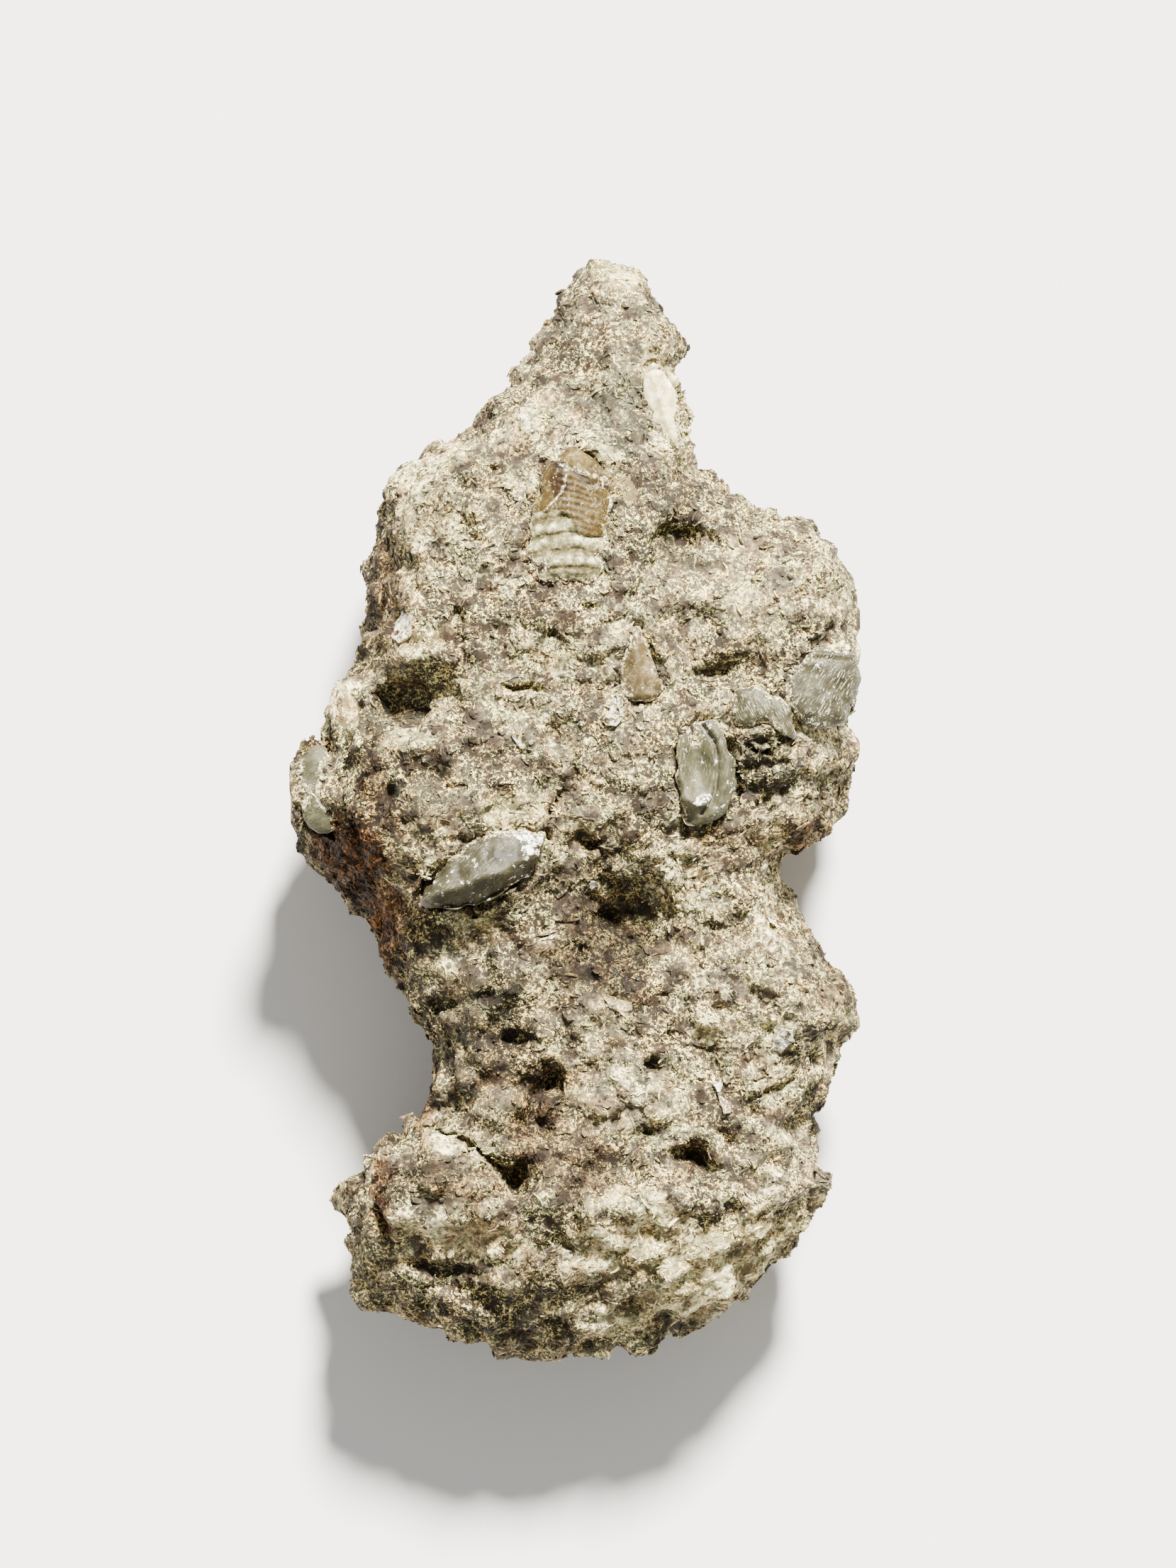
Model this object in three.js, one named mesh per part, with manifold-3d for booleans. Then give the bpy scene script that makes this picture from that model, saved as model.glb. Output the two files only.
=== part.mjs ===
// A hand-size lump of shell-hash limestone, lying on its back with its fossils up.
// Millimetres, +X across the lump, +Y towards its peak, +Z up out of the fossil face.
// The lump is a loft along Y. Its fossils sit in pockets that are cut to their own shapes.
import * as THREE from 'three';
import { ImprovedNoise } from 'three/addons/math/ImprovedNoise.js';
import { mergeVertices } from 'three/addons/utils/BufferGeometryUtils.js';
import Module from 'manifold-3d';

const wasm = await Module();
wasm.setup();

// ---- Driving dimensions ------------------------------------------------------------------

const POCKET_GAP = 0.3;        // clearance between a fossil and the stone around it
const STATION_STEP = 1.3;      // distance between two sections of the lump
const END_STATIONS = [0.12, 0.45, 0.95, 1.6, 2.4]; // sections near both ends, from each end
const FACE_POINTS = 29;        // points of a section across the fossil face, edges included
const UNDER_POINTS = 11;       // points of a section across the underside, edges left out
const RIM_LEVEL = 9.5;         // height at which the lump is widest
const RIM_SWING = 5.0;         // how far the rim wanders up and down
const RIM_STEP = 0.15;         // the first points of a section inside the rim
const WALL_STEP = 0.7;         // the second points of a section inside the rim
const UNDER_TUCK = 7.5;        // distance over which the underside curves in from the rim
const UNDER_DIP = -0.7;        // the belly before it is cut flat, below the resting plane
const BELLY = [-1, -2, 15, 31]; // middle and half sizes of the belly that rests: [x, y, half x, half y]
const BELLY_RISE = 4.2;        // how far the underside lifts from the belly towards the ends
const WALL_WEAR = 0.9;         // how far the broken side walls are bitten in and out
const CROWN = 0.006;           // fall of the face away from its middle line, per mm squared
const FACE_ROUND = 1.8;        // 1 gives a straight side wall, and more a rounder one
const UNDER_ROUND = 2.2;       // the same for the underside
const UNDER_ROUGH = 1.7;       // how much rougher the underside is than the face
const UNDER_LAYER = 9.3;       // the layer of the noise that the underside reads
const RIM_WANDER = 7;          // distance over which the rim wanders
const SWAY = 0.25;             // how far the points of a section stray sideways

// Right edge of the lump from the peak down to the lowest point: [x, y].
const RIGHT_EDGE = [
  [1.85, 39.2], [2.3, 38.4], [4.3, 38.35], [5.15, 37.75], [5.4, 36.6], [6.75, 34.6], [7.85, 33.4],
  [7.3, 32.2], [6.7, 31.2], [7.15, 29.9], [7.9, 27.2], [7.75, 25.9], [9.0, 23.5], [10.2, 22.95],
  [11.0, 22.0], [12.3, 21.6], [13.2, 20.6], [16.6, 20.3], [17.2, 19.5], [18.2, 18.8], [18.7, 17.3],
  [19.4, 16.5], [19.95, 14.7], [19.6, 12.0], [19.9, 10.1], [19.1, 7.2], [19.0, 6.3], [19.7, 5.2],
  [20.35, 4.2], [20.0, 3.5], [19.1, 2.9], [18.8, 1.8], [18.85, 0.0], [18.3, -1.8], [16.5, -2.4],
  [14.2, -3.1], [14.2, -3.8], [14.8, -5.6], [16.8, -9.6], [18.2, -11.6], [19.6, -12.9],
  [19.9, -14.3], [19.5, -15.6], [18.4, -16.7], [17.9, -20.0], [16.6, -21.6], [16.9, -23.3],
  [17.7, -26.9], [16.9, -27.6], [15.8, -30.7], [13.8, -32.2], [11.6, -34.8], [8.5, -36.3],
  [5.6, -37.0], [3.4, -38.0], [-1.0, -39.05], [-3.3, -39.2],
];

// Left edge of the lump from the peak down to the lowest point: [x, y].
const LEFT_EDGE = [
  [1.85, 39.2], [1.0, 39.0], [-0.85, 37.4], [-1.85, 35.0], [-3.5, 32.7], [-4.4, 30.5],
  [-6.1, 28.6], [-6.7, 27.6], [-8.6, 26.2], [-10.6, 25.3], [-12.8, 23.7], [-13.9, 21.4],
  [-14.2, 19.0], [-15.0, 16.4], [-14.9, 12.9], [-15.0, 10.6], [-17.0, 9.0], [-17.9, 6.1],
  [-18.4, 4.6], [-19.9, 2.1], [-20.35, 0.4], [-19.7, -1.8], [-19.4, -3.5], [-18.6, -4.7],
  [-15.8, -6.8], [-14.5, -7.9], [-13.9, -10.4], [-11.8, -12.7], [-11.3, -14.2], [-9.9, -16.9],
  [-10.3, -20.8], [-10.8, -21.9], [-12.5, -23.0], [-14.5, -24.2], [-15.5, -25.5], [-16.8, -26.9],
  [-17.0, -28.0], [-16.2, -30.2], [-15.8, -32.8], [-15.6, -35.0], [-13.9, -35.3], [-12.5, -35.9],
  [-10.2, -36.6], [-7.3, -37.1], [-6.1, -38.6], [-3.3, -39.2],
];

// Height of the fossil face along the lump: [y, z].
const FACE_PROFILE = [
  [39.2, 12.0], [36, 15.0], [30, 18.0], [25, 20.0], [20, 21.2], [10, 22.0], [0, 21.4], [-3, 20.8],
  [-8, 19.6], [-15, 19.0], [-22, 18.6], [-28, 18.4], [-33, 16.8], [-36, 14.2], [-39.2, 11.0],
];

// How far in from each edge the broken side wall reaches before the face begins: [y, width].
const LEFT_WALL = [
  [39.2, 1.0], [30, 1.6], [26, 2.2], [22, 3.2], [19, 3.6], [14, 4.3], [12, 2.2], [9, 2.4],
  [5, 4.0], [2, 5.6], [0, 6.4], [-5, 6.6], [-7, 4.8], [-10, 2.8], [-12.3, 1.3], [-16, 1.2],
  [-20, 1.4], [-24, 3.0], [-28, 4.0], [-33, 3.2], [-36, 2.4], [-39.2, 2.0],
];
const RIGHT_WALL = [
  [39.2, 1.0], [28, 1.6], [22, 2.2], [19, 2.6], [15, 1.6], [10, 1.4], [5, 1.8], [0, 2.8],
  [-3, 1.4], [-9, 1.7], [-14, 1.8], [-20, 1.8], [-26, 2.8], [-31, 3.6], [-39.2, 3.0],
];

// Broad lumps and ledges that stand up from the face.
const LUMPS = [
  { at: [-0.6, 19.2], half: [6.5, 9.0], turn: 0, rise: 1.5 },      // swell under the trilobite
  { at: [-5.6, 4.7], half: [7.0, 4.5], turn: 0, rise: 0.8 },       // middle of the face
  { at: [15.0, 14.2], half: [4.5, 4.5], turn: 0, rise: 1.2 },      // right shoulder
  { at: [3.3, 33.7], half: [2.0, 5.0], turn: 0, rise: 1.2 },       // spine of the peak
  { at: [6.5, 33.0], half: [1.3, 1.7], turn: 0, rise: 1.8 },       // knob beside the peak
  { at: [-11.2, 10.4], half: [3.2, 0.8], turn: 6, rise: 0.9 },     // lip over the left hollow
  { at: [-12.3, 4.7], half: [2.6, 1.1], turn: 10, rise: 1.0 },     // crust under the left hollow
  { at: [-10.8, -25.8], half: [4.6, 2.9], turn: -20, rise: 2.2 },  // foot
  { at: [3.3, -27.6], half: [9.5, 1.7], turn: 4, rise: 1.1 },      // ledge above the lower edge
  { at: [2.0, -32.6], half: [10.0, 1.0], turn: 3, rise: 0.6 },     // second, lower ledge
  { at: [15.4, -12.2], half: [2.6, 5.5], turn: 24, rise: 1.0 },    // swell along the right edge
  { at: [-17.9, 6.6], half: [1.6, 2.6], turn: 20, rise: 1.6 },     // bump above the left ledge
  { at: [-7.8, -0.6], half: [5.2, 2.7], turn: 18, rise: 1.3 },     // lobe behind the keeled shell
];

// Pits and hollows that are sunk into the face.
const HOLLOWS = [
  { at: [7.1, 19.3], half: [1.9, 2.3], turn: 0, rise: -2.6 },      // pit right of the trilobite
  { at: [-11.9, 7.7], half: [3.0, 2.0], turn: 0, rise: -4.2 },     // hollow under the left lip
  { at: [10.4, 9.9], half: [2.4, 0.9], turn: 10, rise: -1.4 },     // groove above the shells
  { at: [1.6, -2.3], half: [1.1, 1.0], turn: 0, rise: -2.3 },      // three-cornered hole
  { at: [3.7, -7.3], half: [3.0, 2.8], turn: -30, rise: -4.0 },    // large pit in the middle
  { at: [-9.4, -13.6], half: [1.1, 0.9], turn: 0, rise: -1.4 },
  { at: [-4.3, -16.0], half: [1.3, 0.9], turn: 0, rise: -1.8 },
  { at: [-2.2, -19.3], half: [1.2, 1.3], turn: 0, rise: -2.4 },
  { at: [-2.8, -22.2], half: [1.3, 1.1], turn: 0, rise: -1.8 },
  { at: [-8.9, -20.6], half: [1.3, 1.1], turn: 0, rise: -1.8 },    // hollow on the left edge
  { at: [-8.2, -23.4], half: [3.4, 0.8], turn: -37, rise: -2.0 },  // crack behind the foot
  { at: [-4.1, -26.0], half: [1.1, 1.3], turn: 0, rise: -2.4 },    // end of that crack
  { at: [8.4, -24.5], half: [1.2, 1.2], turn: 0, rise: -1.8 },
  { at: [-9.3, -32.4], half: [3.3, 1.1], turn: 0, rise: -1.4 },    // recess under the foot
  { at: [13.2, 3.7], half: [2.2, 1.9], turn: 0, rise: -2.2 },      // hollow under a shell
  { at: [-5.6, -8.4], half: [4.6, 2.0], turn: 24, rise: -1.1 },    // step down before the keel
];

// Roughness of the stone: [size of a lump, height of a lump]. Lumps meet in creases.
const ROUGHNESS = [[9.0, 1.5], [4.3, 1.1], [2.3, 0.55]];
const CREASE_LEVEL = 0.2;      // how far the creases lie below the middle of the roughness

const noise = new ImprovedNoise();

// ---- Curves and surfaces of the lump -----------------------------------------------------

// Straight-line reading of a table of [position, value] pairs that runs downwards.
function readDown(table, position) {
  if (position >= table[0][0]) {
    return table[0][1];
  }
  for (let i = 1; i < table.length; i += 1) {
    const [above, valueAbove] = table[i - 1];
    const [below, valueBelow] = table[i];
    if (position >= below) {
      const part = (above - position) / (above - below);
      return valueAbove + (valueBelow - valueAbove) * part;
    }
  }
  return table.at(-1)[1];
}

const swap = ([x, y]) => [y, x];
const rightTable = RIGHT_EDGE.map(swap);
const leftTable = LEFT_EDGE.map(swap);
const outline = [...RIGHT_EDGE, ...LEFT_EDGE.slice(1, -1).reverse()];

// Shortest distance from a point to the outline of the lump.
function edgeDistance(x, y) {
  let shortest = Infinity;
  outline.forEach(([ax, ay], i) => {
    const [bx, by] = outline[(i + 1) % outline.length];
    const length = (bx - ax) ** 2 + (by - ay) ** 2;
    const along = THREE.MathUtils.clamp(((x - ax) * (bx - ax) + (y - ay) * (by - ay)) / length, 0, 1);
    const gap = Math.hypot(x - ax - (bx - ax) * along, y - ay - (by - ay) * along);
    shortest = Math.min(shortest, gap);
  });
  return shortest;
}

// A soft-edged mound or pit: full height over its middle, gone a little past its half sizes.
function mound({ at, half, turn, rise }, x, y) {
  const angle = THREE.MathUtils.degToRad(turn);
  const dx = x - at[0];
  const dy = y - at[1];
  const across = (dx * Math.cos(angle) + dy * Math.sin(angle)) / half[0];
  const along = (dy * Math.cos(angle) - dx * Math.sin(angle)) / half[1];
  return rise * Math.exp(-((across ** 2 + along ** 2) ** 1.4));
}

function roughness(x, y, layer) {
  let sum = 0;
  for (const [size, height] of ROUGHNESS) {
    sum += height * (Math.abs(noise.noise(x / size, y / size, layer + size)) - CREASE_LEVEL);
  }
  return sum;
}

// A rounded shoulder: 0 at the edge, 1 once the distance reaches the width.
function shoulder(distance, width, power) {
  const part = THREE.MathUtils.clamp(distance / width, 0, 1);
  return (1 - (1 - part) ** power) ** (1 / power);
}

function rimHeight(x, y) {
  return RIM_LEVEL + RIM_SWING * noise.noise(x / RIM_WANDER, y / RIM_WANDER, 4.2);
}

function faceHeight(x, y) {
  const middle = (readDown(leftTable, y) + readDown(rightTable, y)) / 2;
  const wall = readDown(x < middle ? LEFT_WALL : RIGHT_WALL, y);
  let face = readDown(FACE_PROFILE, y) - CROWN * (x - middle) ** 2 + roughness(x, y, 0);
  for (const feature of [...LUMPS, ...HOLLOWS]) {
    face += mound(feature, x, y);
  }
  const rim = rimHeight(x, y);
  return rim + (face - rim) * shoulder(edgeDistance(x, y), wall, FACE_ROUND);
}

function underHeight(x, y) {
  const [middleX, middleY, halfX, halfY] = BELLY;
  const reach = Math.hypot((x - middleX) / halfX, (y - middleY) / halfY);
  const lift = BELLY_RISE * THREE.MathUtils.smoothstep(reach, 0.5, 1.25);
  const base = UNDER_DIP + lift + UNDER_ROUGH * roughness(x, y, UNDER_LAYER);
  const rim = rimHeight(x, y);
  return rim - (rim - base) * shoulder(edgeDistance(x, y), UNDER_TUCK, UNDER_ROUND);
}

// ---- Closed meshes -----------------------------------------------------------------------

// Skins a row of closed rings and closes both ends on a middle point. Each ring is an array
// of Vector3, and all rings have the same number of points.
function loft(rings) {
  const around = rings[0].length;
  const position = [];
  const index = [];
  rings.flat().forEach((point) => position.push(...point.toArray()));
  for (const ring of [rings[0], rings.at(-1)]) {
    const middle = new THREE.Vector3();
    ring.forEach((point) => middle.addScaledVector(point, 1 / around));
    position.push(...middle.toArray());
  }
  const first = rings.length * around;
  for (let i = 0; i < around; i += 1) {
    const next = (i + 1) % around;
    for (let j = 0; j < rings.length - 1; j += 1) {
      const a = j * around + i;
      const b = j * around + next;
      index.push(a, b, a + around, b, b + around, a + around);
    }
    const last = (rings.length - 1) * around;
    index.push(first, next, i, first + 1, last + i, last + next);
  }
  const geometry = new THREE.BufferGeometry();
  geometry.setAttribute('position', new THREE.Float32BufferAttribute(position, 3));
  geometry.setIndex(index);
  return geometry;
}

function toSolid(geometry) {
  const bare = geometry.clone();
  bare.deleteAttribute('normal');
  bare.deleteAttribute('uv');
  const merged = mergeVertices(bare, 1e-5);
  const vertProperties = new Float32Array(merged.attributes.position.array);
  const triVerts = new Uint32Array(merged.index.array);
  const solid = new wasm.Manifold(new wasm.Mesh({ numProp: 3, vertProperties, triVerts }));
  if (solid.volume() > 0) {
    return solid;
  }
  return new wasm.Manifold(new wasm.Mesh({ numProp: 3, vertProperties, triVerts: triVerts.reverse() }));
}

function toGeometry(solid) {
  const mesh = solid.getMesh();
  const geometry = new THREE.BufferGeometry();
  geometry.setAttribute('position', new THREE.BufferAttribute(mesh.vertProperties, 3));
  geometry.setIndex(new THREE.BufferAttribute(mesh.triVerts, 1));
  return geometry;
}

// ---- The stone ---------------------------------------------------------------------------

// Sections are closer together where the lump ends, because its faces turn over there.
function stationList() {
  const top = RIGHT_EDGE[0][1];
  const bottom = RIGHT_EDGE.at(-1)[1];
  const reach = END_STATIONS.at(-1);
  const inner = top - bottom - 2 * reach;
  const count = Math.round(inner / STATION_STEP);
  const stations = END_STATIONS.map((offset) => top - offset);
  for (let i = 1; i < count; i += 1) {
    stations.push(top - reach - (inner * i) / count);
  }
  return [...stations, ...END_STATIONS.map((offset) => bottom + offset).reverse()];
}

// Bites a point of a side wall inwards. The face, the belly and the rim itself stay put.
function weather(point, middle) {
  const { x, y, z } = point;
  const gap = edgeDistance(x, y);
  const onWall = THREE.MathUtils.smoothstep(gap, 0, 0.3) * (1 - THREE.MathUtils.smoothstep(gap, 2, 4));
  const bite = WALL_WEAR * onWall * (0.5 + noise.noise(x / 3.1, y / 3.1, z / 3.1));
  return point.setX(x + bite * Math.sign(middle - x));
}

// Places across a section from one rim to the other, with two close steps at each rim.
function places(from, to, count) {
  const inward = Math.sign(to - from);
  const near = [0, RIM_STEP, WALL_STEP].map((step) => from + step * inward);
  const far = [WALL_STEP, RIM_STEP, 0].map((step) => to - step * inward);
  const inner = count - near.length - far.length;
  for (let i = 1; i <= inner; i += 1) {
    near.push(THREE.MathUtils.lerp(near[2], far[0], i / (inner + 1)));
  }
  return [...near, ...far];
}

function sectionRing(y) {
  const left = readDown(leftTable, y);
  const right = readDown(rightTable, y);
  const middle = (left + right) / 2;
  const face = places(left, right, FACE_POINTS).map((x, i) => {
    const sway = SWAY * Math.sin((Math.PI * i) / (FACE_POINTS - 1)) * noise.noise(i * 1.7, y * 1.3, 2.6);
    return weather(new THREE.Vector3(x + sway, y, faceHeight(x + sway, y)), middle);
  });
  const under = places(right, left, UNDER_POINTS + 2).slice(1, -1).map((x) => (
    weather(new THREE.Vector3(x, y, underHeight(x, y)), middle)
  ));
  return [...face, ...under];
}

// The resting plane cuts the belly of the stone flat at z = 0.
function stoneBlank() {
  const blank = toSolid(loft(stationList().map(sectionRing)));
  const below = new THREE.BoxGeometry(90, 120, 20).translate(0, 0, -10);
  return blank.subtract(toSolid(below));
}

// ---- The fossils -------------------------------------------------------------------------

// A shell is a round body drawn out to its length, width and rise, then pinched towards its
// tips, leaned to one side along its crest, and hollowed where it is rolled.
function shellGeometry(shell, grow) {
  const { length, width, rise, sink } = shell;
  const { pinch = 0, lean = 0, sharp = 1, roll = 0, fine = [14, 8] } = shell;
  const geometry = mergeVertices(bareSphere(...fine));
  const position = geometry.attributes.position;
  const point = new THREE.Vector3();
  for (let i = 0; i < position.count; i += 1) {
    point.fromBufferAttribute(position, i);
    const up = Math.max(point.z, 0);
    const x = point.x * (length / 2 + grow);
    const narrow = 1 - pinch * point.x ** 2;
    const y = (point.y * narrow - lean * up) * (width / 2 + grow);
    const dent = roll * up * Math.exp(-((point.x / 0.55) ** 2) - ((point.y - 0.1) / 0.5) ** 2);
    const crest = up ** sharp * (rise + grow);
    const z = point.z > 0 ? crest - dent : point.z * (sink + grow);
    position.setXYZ(i, x, y, z);
  }
  const [x, y] = shell.at;
  const { turn = 0, tilt = 0, nod = 0, bury = 0 } = shell;
  const degrees = THREE.MathUtils.degToRad;
  geometry.applyMatrix4(new THREE.Matrix4().makeRotationZ(degrees(turn)));
  geometry.applyMatrix4(new THREE.Matrix4().makeRotationY(degrees(tilt)));
  geometry.applyMatrix4(new THREE.Matrix4().makeRotationX(degrees(nod)));
  geometry.translate(x, y, faceHeight(x, y) - bury);
  return geometry;
}

function bareSphere(around, down) {
  const sphere = new THREE.SphereGeometry(1, around, down).rotateX(Math.PI / 2);
  sphere.deleteAttribute('normal');
  sphere.deleteAttribute('uv');
  return sphere;
}

const SHELLS = {
  brachiopod_keeled: {
    at: [-6.6, -4.0], length: 10.2, width: 4.8, rise: 2.3, sink: 1.6, turn: 26, lean: 0.3,
    pinch: 0.35, sharp: 0.9, bury: 0.45, fine: [20, 10], colour: 0x8f8c80, gloss: 0.3,
  },
  brachiopod_curled: {
    at: [9.2, 2.9], length: 8.0, width: 4.4, rise: 1.6, sink: 1.5, turn: 82, roll: 0.9,
    pinch: 0.2, bury: 0.6, fine: [18, 10], colour: 0x98958a, gloss: 0.35,
  },
  brachiopod_cracked: {
    at: [13.1, 6.7], length: 5.2, width: 3.6, rise: 1.4, sink: 1.3, turn: -12, nod: 18,
    bury: 0.35, colour: 0xa29f92, gloss: 0.4,
  },
  brachiopod_edge: {
    at: [17.3, 8.9], length: 5.2, width: 5.0, rise: 1.5, sink: 1.4, turn: 0, tilt: 30,
    bury: 0.5, colour: 0x8e8b7d, gloss: 0.4,
  },
  brachiopod_ledge: {
    at: [-18.1, 1.4], length: 6.4, width: 3.6, rise: 1.7, sink: 1.5, turn: 100, tilt: -20,
    bury: 0.4, colour: 0xa9a496, gloss: 0.4,
  },
  shell_yellow: {
    at: [6.1, 28.2], length: 6.2, width: 2.9, rise: 1.3, sink: 1.2, turn: -76, tilt: 22,
    pinch: 0.2, bury: 0.3, colour: 0xd3c59c, gloss: 0.45,
  },
  shell_brown: {
    at: [4.5, 10.3], length: 5.2, width: 3.6, rise: 1.0, sink: 1.1, turn: 90, pinch: 0.35,
    sharp: 0.8, bury: 0.4, fine: [14, 8], colour: 0x9d7f60, gloss: 0.5,
  },
};

// The trilobite: a tapering tail under a brown sheet of cuticle with fine ribs, and below
// it the last body segments with broad ribs. Stations down its length: [y, left, right].
const TRILOBITE_PLAN = [
  [25.6, -0.4, 0.4], [25.0, -1.1, 1.0], [24.0, -1.6, 1.5], [22.7, -2.3, 1.9], [21.4, -2.8, 2.0],
  [20.2, -3.1, 1.9], [19.2, -3.2, 2.2], [17.9, -3.2, 2.2], [16.9, -3.0, 2.0], [16.0, -2.4, 1.6],
];
const FINE_RIBS = { from: 24.0, to: 19.6, spacing: 0.62, height: 0.1 };
const BROAD_RIBS = { from: 20.4, to: 16.0, spacing: 1.18, height: 0.22 };
const TIP_STATIONS = [25.5, 25.0, 24.4];
const TRILOBITE_CROWN = 0.95;  // rise of its middle over its sides
const TRILOBITE_FLAT = 2.4;    // 2 gives a round back, and more a flatter one
const TRILOBITE_FADE = 0.9;    // distance over which its back runs out at both ends
const TRILOBITE_DEPTH = 1.4;   // how deep it goes into the stone
const TRILOBITE_ACROSS = 9;    // points across its back
const TRILOBITE_SINK = 0.6;    // its sides lie this far below the stone round them
const TRILOBITE_DIP = 0.05;    // slope of its bed, down its length and to both sides
const TRILOBITE_MIDDLE = [-0.5, 20.5];

// Height of the ribs at a place down the length: crests are half a spacing apart from grooves.
function ribHeight(y) {
  if (y > FINE_RIBS.from) {
    return 0;
  }
  const ribs = y > FINE_RIBS.to ? FINE_RIBS : BROAD_RIBS;
  return ribs.height * Math.cos((2 * Math.PI * (ribs.from - y)) / ribs.spacing);
}

function trilobiteStations() {
  const stations = [...TIP_STATIONS];
  for (let y = FINE_RIBS.from; y > FINE_RIBS.to; y -= FINE_RIBS.spacing / 2) {
    stations.push(y);
  }
  for (let y = FINE_RIBS.to - 0.2; y >= BROAD_RIBS.to; y -= BROAD_RIBS.spacing / 4) {
    stations.push(y);
  }
  return stations;
}

function trilobiteGeometry(grow) {
  const leftSide = TRILOBITE_PLAN.map(([y, left]) => [y, left]);
  const rightSide = TRILOBITE_PLAN.map(([y, , right]) => [y, right]);
  const stations = trilobiteStations();
  const ends = [stations[0], stations.at(-1)];
  const rings = stations.map((y) => {
    const left = readDown(leftSide, y) - grow;
    const right = readDown(rightSide, y) + grow;
    const fade = THREE.MathUtils.clamp(Math.min(ends[0] - y, y - ends[1]) / TRILOBITE_FADE + 0.12, 0, 1);
    const ring = [];
    for (let i = 0; i < TRILOBITE_ACROSS; i += 1) {
      const part = i / (TRILOBITE_ACROSS - 1);
      const x = THREE.MathUtils.lerp(left, right, part);
      const arch = (1 - Math.abs(2 * part - 1) ** TRILOBITE_FLAT) * TRILOBITE_CROWN * fade;
      const rib = grow ? 0 : ribHeight(y) * Math.sin(Math.PI * part);
      ring.push(new THREE.Vector3(x, y, bedding(x, y) + arch + rib + grow));
    }
    for (const part of [0.8, 0.5, 0.2]) {
      const x = THREE.MathUtils.lerp(left, right, part);
      ring.push(new THREE.Vector3(x, y, bedding(x, y) - TRILOBITE_DEPTH * (0.4 + fade / 2) - grow));
    }
    return ring;
  });
  rings[0].forEach((point) => point.setY(point.y + grow));
  rings.at(-1).forEach((point) => point.setY(point.y - grow));
  return loft(rings);
}

// The plane on which the trilobite lies, at the level of the stone round it.
function bedding(x, y) {
  const [middleX, middleY] = TRILOBITE_MIDDLE;
  const fall = (y - middleY + Math.abs(x - middleX)) * TRILOBITE_DIP;
  return faceHeight(middleX, middleY) - TRILOBITE_SINK - fall;
}

// ---- The group ---------------------------------------------------------------------------

function namedMesh(name, geometry, colour, roughness) {
  const material = new THREE.MeshStandardMaterial({ color: colour, roughness, metalness: 0 });
  const mesh = new THREE.Mesh(geometry, material);
  mesh.name = name;
  return mesh;
}

let stone = stoneBlank();
const fossils = [];
for (const [name, shell] of Object.entries(SHELLS)) {
  stone = stone.subtract(toSolid(shellGeometry(shell, POCKET_GAP)));
  const body = toGeometry(toSolid(shellGeometry(shell, 0)));
  fossils.push(namedMesh(name, body, shell.colour, shell.gloss));
}
stone = stone.subtract(toSolid(trilobiteGeometry(POCKET_GAP)));
const trilobite = toGeometry(toSolid(trilobiteGeometry(0)));
fossils.push(namedMesh('trilobite', trilobite, 0xb08c62, 0.5));

// Crumbs that a pocket cuts loose are left out.
const lump = stone.decompose().sort((a, b) => b.volume() - a.volume())[0];

const specimen = new THREE.Group();
specimen.add(namedMesh('matrix', toGeometry(lump), 0xb3a78c, 0.9), ...fossils);

// The origin lies under the middle of the lump, on the resting plane.
const box = new THREE.Box3().setFromObject(specimen);
const centre = box.getCenter(new THREE.Vector3());
specimen.position.set(-centre.x, -centre.y, -box.min.z);
specimen.updateMatrixWorld(true);

export default specimen;
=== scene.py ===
import math
import random

import bmesh
import bpy
import numpy as np
from mathutils import Matrix, Vector, noise
from mathutils.bvhtree import BVHTree
from mathutils.kdtree import KDTree


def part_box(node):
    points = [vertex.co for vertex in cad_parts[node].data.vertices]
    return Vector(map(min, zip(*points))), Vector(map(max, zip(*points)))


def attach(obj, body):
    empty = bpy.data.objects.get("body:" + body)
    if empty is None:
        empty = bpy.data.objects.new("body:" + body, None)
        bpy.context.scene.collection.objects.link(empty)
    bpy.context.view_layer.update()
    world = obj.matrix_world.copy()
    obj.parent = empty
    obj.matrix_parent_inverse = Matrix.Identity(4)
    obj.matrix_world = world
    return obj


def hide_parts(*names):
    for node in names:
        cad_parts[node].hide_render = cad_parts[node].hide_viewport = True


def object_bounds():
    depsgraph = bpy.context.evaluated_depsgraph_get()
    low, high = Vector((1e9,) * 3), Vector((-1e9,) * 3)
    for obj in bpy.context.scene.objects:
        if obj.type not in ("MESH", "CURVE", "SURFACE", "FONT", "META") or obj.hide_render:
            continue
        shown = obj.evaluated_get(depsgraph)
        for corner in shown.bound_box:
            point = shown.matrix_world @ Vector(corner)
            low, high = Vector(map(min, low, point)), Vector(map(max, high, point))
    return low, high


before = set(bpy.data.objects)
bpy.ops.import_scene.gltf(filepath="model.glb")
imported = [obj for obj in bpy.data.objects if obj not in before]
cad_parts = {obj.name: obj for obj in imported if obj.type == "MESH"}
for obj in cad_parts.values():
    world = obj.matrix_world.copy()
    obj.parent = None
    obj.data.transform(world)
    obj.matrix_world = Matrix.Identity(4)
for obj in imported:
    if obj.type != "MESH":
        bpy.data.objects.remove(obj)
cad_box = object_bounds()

# ---- Trilobite ---------------------------------------------------------------------------
# The tail and last body segments of a small trilobite, 5.4 mm wide and 9.5 mm long. Its tail
# still has a sheet of brown cuticle with fine ribs. Below, the cuticle has flaked off, and
# the worn cream filling shows broad ribs with knobs on them. It is fixed in the stone.

MM = 0.001                      # the sizes in this file are in millimetres

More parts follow.
